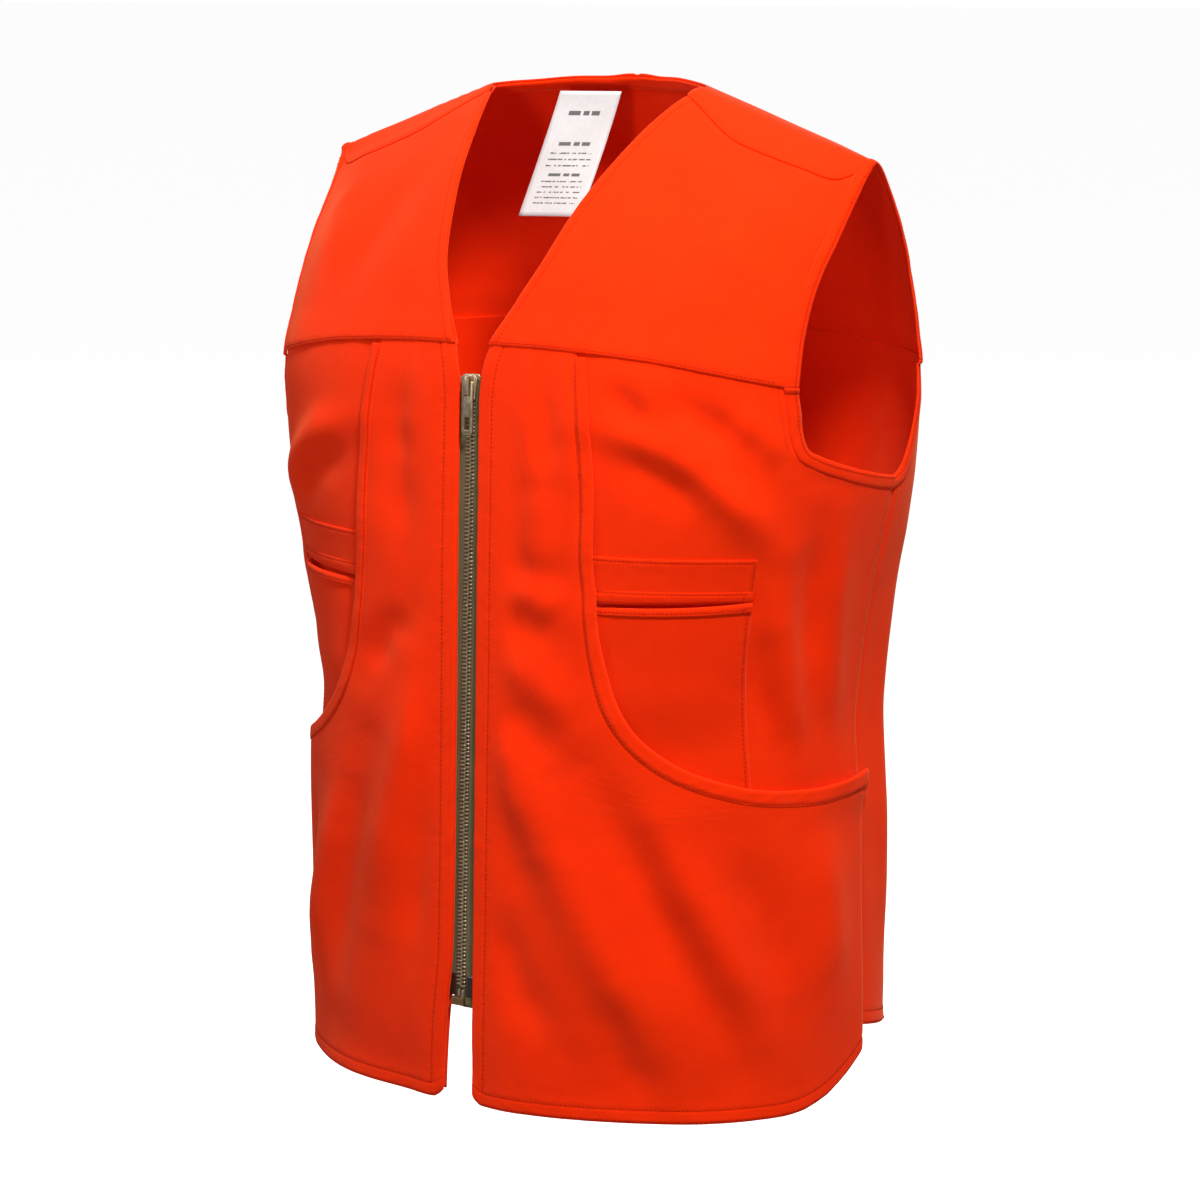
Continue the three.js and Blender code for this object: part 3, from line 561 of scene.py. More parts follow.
def math_node(tree, operation, a, b=None, clamp=False):
    """The outcome of a sum on sockets or numbers."""
    node = tree.nodes.new("ShaderNodeMath")
    node.operation, node.use_clamp = operation, clamp
    for socket, value in zip(node.inputs, (a, b)):
        if value is None:
            continue
        if isinstance(value, (int, float)):
            socket.default_value = value
        else:
            tree.links.new(value, socket)
    return node.outputs[0]


def noise(tree, vector, scale, detail=2.0, rough=0.5):
    node = tree.nodes.new("ShaderNodeTexNoise")
    node.inputs["Scale"].default_value = scale
    node.inputs["Detail"].default_value = detail
    node.inputs["Roughness"].default_value = rough
    tree.links.new(vector, node.inputs["Vector"])
    return node.outputs["Fac"]


def blend_colour(tree, factor, a, b):
    node = tree.nodes.new("ShaderNodeMix")
    node.data_type = "RGBA"
    for socket, value in ((node.inputs[0], factor), (node.inputs[6], a), (node.inputs[7], b)):
        if isinstance(value, (tuple, float, int)):
            socket.default_value = value
        else:
            tree.links.new(value, socket)
    return node.outputs[2]


def weave_group():
    """Crossed threads: a height and a light and dark shade."""
    tree, gi, go = shader_group("crossed_threads", [("Vector", "NodeSocketVector", None),
                                                    ("Threads", "NodeSocketFloat", 1200.0),
                                                    ("Slub", "NodeSocketFloat", 0.5)],
                                [("Height", "NodeSocketFloat"), ("Shade", "NodeSocketFloat")])
    sep = tree.nodes.new("ShaderNodeSeparateXYZ")
    tree.links.new(gi.outputs["Vector"], sep.inputs[0])
    turn = math_node(tree, "MULTIPLY", gi.outputs["Threads"], math.pi)
    u = math_node(tree, "MULTIPLY", sep.outputs[0], turn)
    w = math_node(tree, "MULTIPLY", sep.outputs[1], turn)
    over = math_node(tree, "MULTIPLY", math_node(tree, "SINE", u), math_node(tree, "SINE", w))
    diagonal = math_node(tree, "SINE", math_node(tree, "ADD", u, w))
    height = math_node(tree, "ADD", math_node(tree, "MULTIPLY", over, 0.35),
                       math_node(tree, "MULTIPLY", diagonal, 0.15))
    slub = noise(tree, gi.outputs["Vector"], 420, 3, 0.6)
    slub = math_node(tree, "MULTIPLY", math_node(tree, "SUBTRACT", slub, 0.5), gi.outputs["Slub"])
    height = math_node(tree, "ADD", math_node(tree, "ADD", height, 0.5), slub)
    tree.links.new(height, go.inputs["Height"])
    shade = math_node(tree, "ADD", math_node(tree, "MULTIPLY", height, 0.5), math_node(tree, "ADD", slub, 0.25))
    tree.links.new(shade, go.inputs["Shade"])
    return tree


def mottle_group():
    """Soft uneven dye and handling marks, 0 to 1."""
    tree, gi, go = shader_group("uneven_dye", [("Vector", "NodeSocketVector", None),
                                               ("Scale", "NodeSocketFloat", 1.0)],
                                [("Mask", "NodeSocketFloat")])
    scaled = tree.nodes.new("ShaderNodeVectorMath")
    scaled.operation = "SCALE"
    tree.links.new(gi.outputs["Vector"], scaled.inputs[0])
    tree.links.new(gi.outputs["Scale"], scaled.inputs["Scale"])
    wide = noise(tree, scaled.outputs[0], 9, 3, 0.55)
    fine = noise(tree, scaled.outputs[0], 70, 4, 0.6)
    both = math_node(tree, "ADD", math_node(tree, "MULTIPLY", wide, 0.65),
                     math_node(tree, "MULTIPLY", fine, 0.35))
    tree.links.new(map_range(tree, both, From_Min=0.33, From_Max=0.67), go.inputs["Mask"])
    return tree


def bell(tree, distance, width):
    """1 at no distance, dying away over the width."""
    share = math_node(tree, "DIVIDE", distance, width)
    square = math_node(tree, "MULTIPLY", share, share)
    return math_node(tree, "EXPONENT", math_node(tree, "MULTIPLY", square, -1.0))


def seam_group():
    """Painted shade in the groove along a line of stitches, and gathered ripples beside it. Distance is in mm.
    """
    tree, gi, go = shader_group("seam_pucker", [("Vector", "NodeSocketVector", None),
                                                ("Distance", "NodeSocketFloat", 60.0)],
                                [("Dark", "NodeSocketFloat"), ("Height", "NodeSocketFloat")])
    # Dark is painted shade, strongest within 0.8 mm of the stitches.
    tree.links.new(bell(tree, gi.outputs["Distance"], 0.8), go.inputs["Dark"])
    uneven = noise(tree, gi.outputs["Vector"], 150, 2, 0.5)
    gathered = math_node(tree, "MULTIPLY", uneven, bell(tree, gi.outputs["Distance"], 5.5))
    tree.links.new(gathered, go.inputs["Height"])
    return tree


def wear_group():
    """Rubbed metal: uneven roughness, small scratches and darker hollows, in metres of Object coordinates."""
    tree, gi, go = shader_group("rubbed_metal", [("Vector", "NodeSocketVector", None)],
                                [("Wear", "NodeSocketFloat"), ("Scratch", "NodeSocketFloat")])
    wear = noise(tree, gi.outputs["Vector"], 420, 4, 0.6)
    stretched = tree.nodes.new("ShaderNodeMapping")
    stretched.inputs["Scale"].default_value = (1.0, 1.0, 0.12)
    stretched.inputs["Rotation"].default_value = (0.1, 0.4, 0.0)
    tree.links.new(gi.outputs["Vector"], stretched.inputs["Vector"])
    tree.links.new(wear, go.inputs["Wear"])
    tree.links.new(noise(tree, stretched.outputs[0], 2600, 3, 0.7), go.inputs["Scratch"])
    return tree


WEAVE, MOTTLE, SEAM, WEAR = weave_group(), mottle_group(), seam_group(), wear_group()


def place_group(tree, group, **values):
    node = tree.nodes.new("ShaderNodeGroup")
    node.node_tree = group
    for key, value in values.items():
        if isinstance(value, (int, float)):
            node.inputs[key].default_value = value
        else:
            tree.links.new(value, node.inputs[key])
    return node


def new_material(name, roughness, metallic=0.0, **shader):
    mat = bpy.data.materials.new(name)
    mat.use_nodes = True
    tree = mat.node_tree
    bsdf = tree.nodes["Principled BSDF"]
    bsdf.inputs["Roughness"].default_value = roughness
    bsdf.inputs["Metallic"].default_value = metallic
    for key, value in shader.items():
        bsdf.inputs[key.replace("_", " ")].default_value = value
    return mat, tree, bsdf


def add_bump(tree, bsdf, height, strength, distance, under=None):
    node = tree.nodes.new("ShaderNodeBump")
    node.inputs["Strength"].default_value = strength
    node.inputs["Distance"].default_value = distance
    tree.links.new(height, node.inputs["Height"])
    if under is not None:
        tree.links.new(under, node.inputs["Normal"])
    tree.links.new(node.outputs[0], bsdf.inputs["Normal"])
    return node.outputs[0]


def cloth_uv(tree):
    node = tree.nodes.new("ShaderNodeUVMap")
    node.uv_map = "cloth"
    return node.outputs[0]


def object_coordinates(tree):
    return tree.nodes.new("ShaderNodeTexCoord").outputs["Object"]


def darker(colour, share):
    return tuple(share * c for c in colour[:3]) + (1.0,)


def make_cloth(name, bright, deep, painted_glow):
    """Woven cotton, dyed a little unevenly, with painted shade along its stitches and a faint painted glow."""
    mat, tree, bsdf = new_material(name, 0.86, Sheen_Weight=0.24, Sheen_Roughness=0.5, Specular_IOR_Level=0.25,
                                   Specular_Tint=(1.0, 0.4, 0.14, 1.0), Sheen_Tint=(1.0, 0.36, 0.15, 1.0),
                                   Emission_Strength=painted_glow)
    uv = cloth_uv(tree)
    seam = tree.nodes.new("ShaderNodeAttribute")
    seam.attribute_name = "seam"
    threads = place_group(tree, WEAVE, Vector=uv, Threads=1250.0, Slub=0.5)
    dye = place_group(tree, MOTTLE, Vector=uv, Scale=1.0)
    gather = place_group(tree, SEAM, Vector=uv, Distance=seam.outputs["Fac"])
    tone = blend_colour(tree, dye.outputs["Mask"], deep, bright)
    shade = math_node(tree, "MULTIPLY", threads.outputs["Shade"], 0.22, clamp=True)
    tone = blend_colour(tree, shade, tone, darker(bright, 0.72))
    # Painted shade: the cloth is darkened along each line of stitches, where its groove lies in shade.
    stitch_groove_shade = math_node(tree, "MULTIPLY", gather.outputs["Dark"], 0.34)
    tone = blend_colour(tree, stitch_groove_shade, tone, darker(deep, 0.55))
    tree.links.new(tone, bsdf.inputs["Base Color"])
    # Painted glow: the cloth gives off light in its own colour, standing in for the dye's fluorescence and
    # lifting its shaded parts.
    tree.links.new(tone, bsdf.inputs["Emission Color"])
    tree.links.new(map_range(tree, dye.outputs["Mask"], To_Min=0.78, To_Max=0.92), bsdf.inputs["Roughness"])
    under = add_bump(tree, bsdf, gather.outputs["Height"], 0.5, 0.0012)
    under = add_bump(tree, bsdf, noise(tree, uv, 55, 3, 0.55), 0.25, 0.0012, under)
    add_bump(tree, bsdf, threads.outputs["Height"], 0.22, 0.00025, under)
    return mat


ORANGE, ORANGE_DEEP = (0.97, 0.027, 0.0006, 1.0), (0.87, 0.019, 0.0004, 1.0)
cloth_material = make_cloth("orange_cloth", ORANGE, ORANGE_DEEP, painted_glow=0.03)


def make_thread():
    mat, tree, bsdf = new_material("orange_thread", 0.6, Specular_IOR_Level=0.3,
                                   Specular_Tint=(1.0, 0.4, 0.12, 1.0))
    twist = noise(tree, object_coordinates(tree), 2200, 2, 0.5)
    tree.links.new(blend_colour(tree, twist, (0.42, 0.007, 0.0003, 1), (0.62, 0.014, 0.0006, 1)),
                   bsdf.inputs["Base Color"])
    add_bump(tree, bsdf, twist, 0.4, 0.0001)
    return mat


def make_tape():
    """Olive tape woven in a herringbone."""
    mat, tree, bsdf = new_material("zip_tape", 0.9, Sheen_Weight=0.25, Sheen_Roughness=0.5)
    uv = cloth_uv(tree)
    sep = tree.nodes.new("ShaderNodeSeparateXYZ")
    tree.links.new(uv, sep.inputs[0])
    rib = math_node(tree, "PINGPONG", sep.outputs[0], 0.0016)
    slant = math_node(tree, "ADD", math_node(tree, "MULTIPLY", rib, 1.4), sep.outputs[1])
    bone = math_node(tree, "SINE", math_node(tree, "MULTIPLY", slant, 2 * math.pi / 0.00115))
    bone01 = math_node(tree, "ADD", math_node(tree, "MULTIPLY", bone, 0.5), 0.5)
    dye = place_group(tree, MOTTLE, Vector=uv, Scale=6.0)
    tone = blend_colour(tree, bone01, (0.05, 0.038, 0.009, 1), (0.17, 0.135, 0.04, 1))
    faded = math_node(tree, "MULTIPLY", dye.outputs["Mask"], 0.35)
    tone = blend_colour(tree, faded, tone, (0.2, 0.16, 0.06, 1))
    tree.links.new(tone, bsdf.inputs["Base Color"])
    add_bump(tree, bsdf, bone01, 0.5, 0.0003)
    return mat


def make_metal(name, light, dark, rough=0.34):
    """Cast metal, rubbed brighter in places."""
    mat, tree, bsdf = new_material(name, rough, metallic=1.0)
    worn = place_group(tree, WEAR, Vector=object_coordinates(tree))
    tree.links.new(blend_colour(tree, worn.outputs["Wear"], dark, light), bsdf.inputs["Base Color"])
    spread = map_range(tree, worn.outputs["Wear"], To_Min=rough - 0.1, To_Max=rough + 0.18)
    tree.links.new(spread, bsdf.inputs["Roughness"])
    add_bump(tree, bsdf, worn.outputs["Scratch"], 0.12, 0.00008)
    return mat


def make_film():
    """Stiff dark film pressed onto the ends of the tape."""
    mat, tree, bsdf = new_material("tape_film", 0.35, Coat_Weight=0.4)
    bsdf.inputs["Coat Roughness"].default_value = 0.2
    uv = cloth_uv(tree)
    threads = place_group(tree, WEAVE, Vector=uv, Threads=1600.0, Slub=0.4)
    dye = place_group(tree, MOTTLE, Vector=uv, Scale=8.0)
    tone = blend_colour(tree, dye.outputs["Mask"], (0.012, 0.005, 0.003, 1), (0.05, 0.018, 0.008, 1))
    tree.links.new(tone, bsdf.inputs["Base Color"])
    add_bump(tree, bsdf, threads.outputs["Height"], 0.2, 0.0002)
    return mat


def stripe_mask(tree, coordinate, spans):
    """1 where the coordinate is inside one of the spans, in metres."""
    total = None
    for low, high in spans:
        above = math_node(tree, "GREATER_THAN", coordinate, low)
        inside = math_node(tree, "MULTIPLY", above, math_node(tree, "LESS_THAN", coordinate, high))
        total = inside if total is None else math_node(tree, "ADD", total, inside)
    return total


def make_satin():
    """White woven satin with plain printed rules and dashes that spell nothing."""
    mat, tree, bsdf = new_material("label_satin", 0.38, Sheen_Weight=0.2, Sheen_Roughness=0.3,
                                   Specular_IOR_Level=0.6)
    uv = cloth_uv(tree)
    sep = tree.nodes.new("ShaderNodeSeparateXYZ")
    tree.links.new(uv, sep.inputs[0])
    x, y = sep.outputs[0], sep.outputs[1]
    threads = place_group(tree, WEAVE, Vector=uv, Threads=3200.0, Slub=0.2)
    spread = tree.nodes.new("ShaderNodeMapping")
    spread.inputs["Scale"].default_value = (620.0, 210.0, 1.0)
    tree.links.new(uv, spread.inputs["Vector"])
    broken = math_node(tree, "GREATER_THAN", noise(tree, spread.outputs[0], 1.0), 0.47)
    fine = stripe_mask(tree, y, [(0.0415 + 0.0042 * k, 0.0425 + 0.0042 * k) for k in range(3)]
                       + [(0.0605 + 0.0036 * k, 0.0614 + 0.0036 * k) for k in range(5)])
    fine = math_node(tree, "MULTIPLY", fine, broken)
    bold = stripe_mask(tree, y, [(0.0135, 0.0165), (0.0345, 0.037), (0.0555, 0.0575)])
    middle = stripe_mask(tree, x, [(0.0105, 0.0185), (0.0205, 0.0245), (0.026, 0.0315)])
    bold = math_node(tree, "MULTIPLY", bold, middle)
    wide = stripe_mask(tree, x, [(0.0065, 0.0355)])
    ink = math_node(tree, "MULTIPLY", math_node(tree, "ADD", fine, bold), wide, clamp=True)
    dye = place_group(tree, MOTTLE, Vector=uv, Scale=5.0)
    tone = blend_colour(tree, dye.outputs["Mask"], (0.52, 0.5, 0.49, 1), (0.6, 0.585, 0.58, 1))
    tone = blend_colour(tree, math_node(tree, "MULTIPLY", ink, 0.85), tone, (0.02, 0.02, 0.02, 1))
    tree.links.new(tone, bsdf.inputs["Base Color"])
    add_bump(tree, bsdf, threads.outputs["Height"], 0.15, 0.0001)
    return mat


thread_material, tape_material = make_thread(), make_tape()
metal_material = make_metal("zip_metal", (0.74, 0.62, 0.43, 1), (0.4, 0.31, 0.19, 1))
brass_material = make_metal("aged_brass", (0.42, 0.27, 0.13, 1), (0.16, 0.1, 0.05, 1), 0.4)
film_material, satin_material = make_film(), make_satin()

# ---- cloth heights, in mm outside the form -------------------------------------------------------
PLACKET, HEM_STITCH, HEM_EDGE_STITCH = 11.0, 9.0, 1.8      # lines of stitches, in mm from an edge


def line_of_stitches(dist, at, deep, wide=0.8):
    """The groove that a line of stitches draws down, at mm from an edge."""
    return -deep * np.exp(-(((dist - at) / wide) ** 2))


def ripple(run, seed):
    """Slight gathering along a sewn edge."""
    uneven = 0.6 + 0.4 * np.sin(run / 31 + seed)
    return uneven * (0.2 * np.sin(run / 2.9 + 2 * np.sin(run / 19)) * np.sin(run / 7.3 + 2 * seed)
                     + 0.16 * np.sin(run / 5.1 + 3 * seed + 1.5 * np.sin(run / 13)))


def turned(dist, stitch, puff=0.45):
    """A turned and stitched edge: rounded over at the edge, padded, and drawn down at the stitches."""
    round_over = -0.9 * np.exp(-dist / 0.7)
    pad = 0.7 * puff * smooth(0, 1.5, dist) * (1 - smooth(stitch - 2.2, stitch - 0.2, dist))
    return round_over + pad + line_of_stitches(dist, stitch, 0.26, 1.1)


def sunk(dist, deep, reach):
    """Cloth drawn down towards an edge."""
    return -deep * np.exp(-((dist / reach) ** 2))


def pocket_lift(s, v):
    """The big curved pocket stands off the front."""
    return (9 * np.sin(math.pi * np.clip((s - 0.06) / 0.94, 0, 1)) ** 0.75 * smooth(0.02, 0.22, v)
            * (1 - smooth(0.52, 0.76, v)))


def patch_lift(s, v):
    """The chest pocket's patch stands off the front too."""
    return 7.8 * np.sin(math.pi * np.clip((s - 0.3) / 0.33, 0, 1)) ** 0.7 * smooth(0.52, 0.62, v)


def mouth_flare(s, v):
    """The pocket mouth stands away from the body near the side seam."""
    return 4.5 * smooth(0.72, 0.97, s) * smooth(0.40, 0.475, v) * (1 - smooth(0.5, 0.6, v))


def pocket_slit(s, v):
    """How far the lining of the chest pocket's slit lies back from the welts."""
    along = smooth(0.25, 0.3, s) * (1 - smooth(0.56, 0.63, s))
    return 6.5 * along * smooth(0.715, 0.727, v) * (1 - smooth(0.742, 0.752, v))


def beside_zip(cut):
    """1 at the edge beside the zip and 0 a little way in, where the fronts lie lower."""
    return 1 - smooth(3, 22, cut.left)


def front_height(s, v, cut):
    """The front panel, under the apron and the yoke."""
    up = 1.3 + sunk(cut.right, 0.8, 2.5) * (v < 0.885) - 1.1 * beside_zip(cut) * (v < 1.05)
    return up + sunk(cut.low, 0.3, 2.0) - pocket_slit(s, v)


def apron_level(s, v):
    """Height of the apron before its edges are sewn."""
    level = 2.9 + 0.9 * smooth(0.02, 0.12, v) * (1 - smooth(0.75, 1.05, v))
    over_pocket = smooth(0.62, 0.68, v) * (1 - smooth(0.82, 0.88, v)) * smooth(0.1, 0.16, s)
    level += 0.8 * over_pocket * (1 - smooth(0.3, 0.36, s))
    return level + 0.62 * pocket_lift(s, v) + mouth_flare(s, v)


def apron_height(s, v, cut):
    up = apron_level(s, v) - 1.3 * beside_zip(cut) * (1 - smooth(1.0, 1.08, v))
    up += turned(cut.left, PLACKET, 0.3) + turned(cut.low, HEM_STITCH, 0.35)
    up += ripple(cut.left, 1) * np.exp(-((cut.low / 7) ** 2))
    side = (v < 0.445) & (s > 0.9)
    up += np.where(side, sunk(cut.right, 1.2, 2.5), sunk(cut.right, 0.75, 2.6))
    return up + ripple(cut.low, 2) * np.exp(-((cut.left / 8) ** 2))


def band_height(s, v, cut):
    """The facing along the pocket mouth, wrapped over its edge and stitched down."""
    wrapped = 1.5 * (1 - np.exp(-cut.right / 0.5)) - 0.75
    inner = np.exp(-((cut.left / 1.6) ** 2))
    loose = (wrapped + 0.55 * ripple(cut.low, 3)) * (1 - inner) + 0.12 * inner
    return apron_level(s, v) + loose + line_of_stitches(cut.left, MOUTH_BAND_STITCH, 0.45)


# ---- lower fronts --------------------------------------------------------------------------------
front_side = [[1, HEM_CORNER], [1, 0.16], [1, 0.26], [1, 0.36], [1, 0.46], [1, 0.57], [1, 0.68], [1, 0.78],
              [1, 0.883], [0.85, 0.903], [0.742, 0.923], [0.672, 0.955], [0.648, 1.03], [0.642, 1.082]]
front_v = [0, 0.11, 0.22, 0.33, 0.44, 0.55, 0.66, 0.75, 0.81, 0.88, 0.95, 1.03, 1.08, 1.12]
apron_v = [0, 0.11, 0.22, 0.32, 0.4, 0.414, 0.426, 0.438, 0.45, 0.462, 0.477, 0.497, 0.527, 0.572, 0.625, 0.685,
           0.74, 0.795, 0.9, 1.0, 1.06, 1.12]
apron_side = [[1, HEM_CORNER], [1, 0.16], [1, 0.26], [1, 0.36], [1, 0.452]]
apron_side += [[s + 0.004, v + 0.006] for s, v in MOUTH_STITCH[-2:0:-1]] + [[0.176, 1.06], [0.1715, 1.12]]
LAP = 0.012                        # how far a lower panel runs on under the yoke, in v
CORNER_CUT, CORNER_SHARE = 0.012, 44       # rise in v of the hem's corner at the zip, over 1/44 of the width
MOUTH_BAND_STITCH = 1.3                    # mm from the band's inner edge


def hem_bend(row, s, u):
    """Bends the lowest rows to the hem's curve."""
    rise = front_hem(s) - HEM_CORNER * u + CORNER_CUT * np.clip(1 - u * CORNER_SHARE, 0, 1) ** 2
    return rise * np.clip(1 - row / 2, 0, 1)


def front_bend(row, s, u):
    """Bends the highest rows to the yoke seam as well."""
    seam = yoke_seam(s) + LAP - (1.12 + (1.082 - 1.12) * u)
    return hem_bend(row, s, u) + seam * np.clip((row - len(front_v) + 3) / 2, 0, 1)


def at_zip(vs, mm):
    """Stations mm from the centre line."""
    return [[float(s_at(mm, v)), v] for v in vs]


# mm from the centre line to each front's edge: the +X one opens towards the hem, the -X one flares at the hem
OPENING = {1: table([0, 0.3, 0.75, 1.0], [11.6, 10.6, 8.8, 7.6]),
           -1: table([0, 0.1, 0.22, 0.5, 0.8, 1.05], [12.0, 10.4, 5.9, 6.0, 7.3, 7.6])}


def front_edge(vs, side, mm=0.0):
    """Stations of the front edge beside the zip, and on into the V of the neck."""
    out = []
    for v in vs:
        s = float(s_at(float(OPENING[side](v)) + mm, v))
        s += (float(np.interp(v, [1.108, 1.19], [0.018, 0.043])) - s) * float(smooth(1.035, 1.1, v))
        out.append([s, v])
    return out


sheets = {}                        # panel name to its object, cut, the way it is held and its own strips


def declare(obj, cut, held="stretched", rests=(), halves=1):
    """Notes a panel as a sheet in the sheets table."""
    sheets[obj.name] = (obj, cut, held, list(rests), halves, [])


def strip_of(panel, name, cut, key, node, seams, thick=1.0):
    """Makes a narrow strip that is sewn to a panel, and lists it with the panel."""
    sheets[panel][-1].append(cloth_piece(name, cut, key, [node], seams, thick))


for side, word in SIDES:
    front = Cut(front_edge(front_v, side, 0.6), front_side, front_height, side, front_bend, across=120)
    obj = cloth_piece(f"front_cloth_{word}", front, word, [f"front_panel_{word}"], [("right", 4)])
    declare(obj, front, rests=["back_panel"])

    apron = Cut(front_edge(apron_v, side), apron_side, apron_height, side, hem_bend, across=120)
    obj = cloth_piece(f"apron_cloth_{word}", apron, word, [f"pocket_apron_{word}"],
                      [("left", PLACKET), ("low", HEM_STITCH), ("low", HEM_EDGE_STITCH)])
    sew(word, apron, "left", PLACKET, (9, 1))
    sew(word, apron, "low", HEM_STITCH, (11, 0))
    sew(word, apron, "low", HEM_EDGE_STITCH, (3, 0))

    band = Cut(MOUTH_STITCH, MOUTH_EDGE, band_height, side, edges=PLAIN, step=1.25, across=12)
    declare(obj, apron, "hung", [f"front_yoke_{word}"])
    strip_of(obj.name, f"mouth_band_{word}", band, word, f"pocket_apron_binding_{word}",
             [("left", MOUTH_BAND_STITCH)])
    sew(word, band, "left", MOUTH_BAND_STITCH, (3, 1))


# ---- chest pockets -------------------------------------------------------------------------------
BAND_STITCH, PATCH_STITCH = 2.2, 3.0
UPPER_WELT_STITCH, LOWER_WELT_STITCH = 1.4, 1.9
BAND_END_STITCHES, SLIT_END_STITCH = (1.2, 6.0), 5.5
patch_left = [[0.255, 0.724], [0.278, 0.65], [0.31, 0.603], [0.356, 0.563], [0.42, 0.525], [0.495, 0.494],
              [0.575, 0.474], [0.615, 0.468]]
patch_right = [[0.621, 0.731], [0.63, 0.65], [0.638, 0.603], [0.644, 0.563], [0.648, 0.529], [0.651, 0.5],
               [0.652, 0.478], [0.653, 0.47]]


def lower_welt_height(s, v, cut):
    roll = 0.55 * np.sin(math.pi * np.clip(cut.top / 9, 0, 1)) ** 0.6 - np.exp(-cut.top / 0.7)
    stitched = line_of_stitches(cut.low, LOWER_WELT_STITCH, 0.35)
    return 2.7 + 0.55 * patch_lift(s, v) + roll + stitched + sunk(cut.left, 1.0, 7)


def upper_welt_height(s, v, cut):
    roll = 0.5 * np.sin(math.pi * np.clip(cut.low / 9, 0, 1)) ** 0.6 - np.exp(-cut.low / 0.7)
    stitched = line_of_stitches(cut.top, UPPER_WELT_STITCH, 0.35)
    return 2.9 + roll + stitched + sunk(cut.top, 0.3, 0.8) + sunk(cut.left, 1.0, 7)


def pocket_band_height(s, v, cut):
    return 2.7 + turned(cut.top, BAND_STITCH, 0.35) + sunk(cut.right, 0.6, 1.2) + sunk(cut.left, 0.9, 7)


def patch_height(s, v, cut):
    return 2.3 + 0.55 * patch_lift(s, v) + turned(cut.right, PATCH_STITCH, 0.3)


for side, word in SIDES:
    band = Cut([[0.238, 0.754], [0.226, 0.802]], [[0.618, 0.754], [0.613, 0.802]], pocket_band_height, side,
               split=16, step=3.5)
    obj = cloth_piece(f"pocket_band_cloth_{word}", band, word, [f"chest_pocket_band_{word}"],
                      [("top", BAND_STITCH), ("right", BAND_STITCH)], thick=1.0)
    declare(obj, band, rests=[f"front_cloth_{word}"])
    sew(word, band, "top", BAND_STITCH, (0, 1))
    sew(word, band, "right", BAND_END_STITCHES[0], (1, 1))
    sew(word, band, "right", BAND_END_STITCHES[1], (22, 0))
    upper = Cut([[0.242, 0.7355], [0.24, 0.756]], [[0.6185, 0.7405], [0.6165, 0.756]], upper_welt_height,
                side, split=16, edges=(0, 1, 0, 0), step=1.1)
    lower = Cut([[0.253, 0.7195], [0.248, 0.7298]], [[0.6205, 0.728], [0.6195, 0.7412]], lower_welt_height,
                side, split=16, edges=(0, 1, 0, 0), step=1.1)
    for level, welt, edge in (("upper", upper, "top"), ("lower", lower, "low")):
        strip_of(obj.name, f"{level}_welt_cloth_{word}", welt, word, f"chest_pocket_{level}_welt_{word}",
                 [(edge, 1)])
    sew(word, upper, "top", UPPER_WELT_STITCH, (0, 1))
    sew(word, upper, "right", SLIT_END_STITCH, (0, 0))
    sew(word, lower, "right", SLIT_END_STITCH, (0, 1))
    sew(word, lower, "low", LOWER_WELT_STITCH, (0, 1))

    patch = Cut(patch_left, patch_right, patch_height, side)
    obj = cloth_piece(f"patch_cloth_{word}", patch, word, [f"chest_pocket_patch_{word}"],
                      [("right", PATCH_STITCH)], thick=1.0)
    declare(obj, patch, "hung", [f"front_cloth_{word}"])
    sew(word, patch, "right", PATCH_STITCH, (0, 0))


# ---- yokes ---------------------------------------------------------------------------------------
YOKE_STITCH, NECK_STITCH = 2.0, 6.0


def yoke_height(s, v, cut):
    """The front yoke laps over the front, and over the apron beside the neck."""
    lap = (1.7 + 1.25 * smooth(0.24, 0.17, s)) * (1 - smooth(2, 30, cut.low))
    up = 1.5 + lap + turned(cut.low, YOKE_STITCH, 0.25) + turned(cut.left, NECK_STITCH, 0.4)
    return up + sunk(cut.top, 0.6, 2.5) + 0.6 * ripple(cut.left, 4) * np.exp(-((cut.low / 6) ** 2))


def back_yoke_height(s, v, cut):
    """The back yoke laps over the back, and over the front yoke in front of the shoulder."""
    lap = 1.2 * (1 - smooth(2, 22, cut.low))
    front_lap = 0.7 * (1 - smooth(2, 14, cut.top)) * (s > 0.17)
    round_over = np.where(s > 0.17, turned(cut.top, YOKE_STITCH, 0.2), 0)
    return 1.5 + lap + front_lap + round_over + turned(cut.low, YOKE_STITCH, 0.25)


def yoke_bend(row, s, u):
    """Bends the lowest rows to the yoke seam and the highest ones to the shoulder seam."""
    last = len(V_NECK) - 1
    seam = yoke_seam(s) - (1.108 + (1.07 - 1.108) * u)
    top = shoulder_seam(s) - (1.843 + (1.772 - 1.843) * u)
    return seam * np.clip(1 - row / 2, 0, 1) + top * np.clip((row - last + 2.5) / 2.5, 0, 1) ** 1.4


yoke_arm = [[0.642, 1.07], [0.648, 1.21], [0.665, 1.38], [0.69, 1.48], [0.713, 1.58], [0.735, 1.678],
            [0.757, 1.772]]
for side, word in SIDES:
    cut = Cut(V_NECK, yoke_arm, yoke_height, side, yoke_bend)
    obj = cloth_piece(f"yoke_cloth_{word}", cut, word, [f"front_yoke_{word}"],
                      [("low", YOKE_STITCH), ("left", NECK_STITCH)])
    sew(word, cut, "low", YOKE_STITCH, (1, 3))
    sew(word, cut, "left", NECK_STITCH, (1, 2))
    declare(obj, cut, rests=["back_and_shoulders_cloth"])

back_yoke_middle = [[0, 2.9], [0, 2.75], [0, 2.6], [0, 2.45], [0, 2.27], [0.03, 2.251], [0.078, 2.2],
                    [0.159, 2.11], [0.201, 2.0], [0.19, 1.92], [0.183, 1.843]]
back_yoke_arm = [[0.76, 2.9], [0.745, 2.8], [0.733, 2.7], [0.731, 2.58], [0.738, 2.46], [0.745, 2.4],
                 [0.752, 2.33], [0.775, 2.2], [0.8, 2.05], [0.79, 1.92], [0.757, 1.772]]


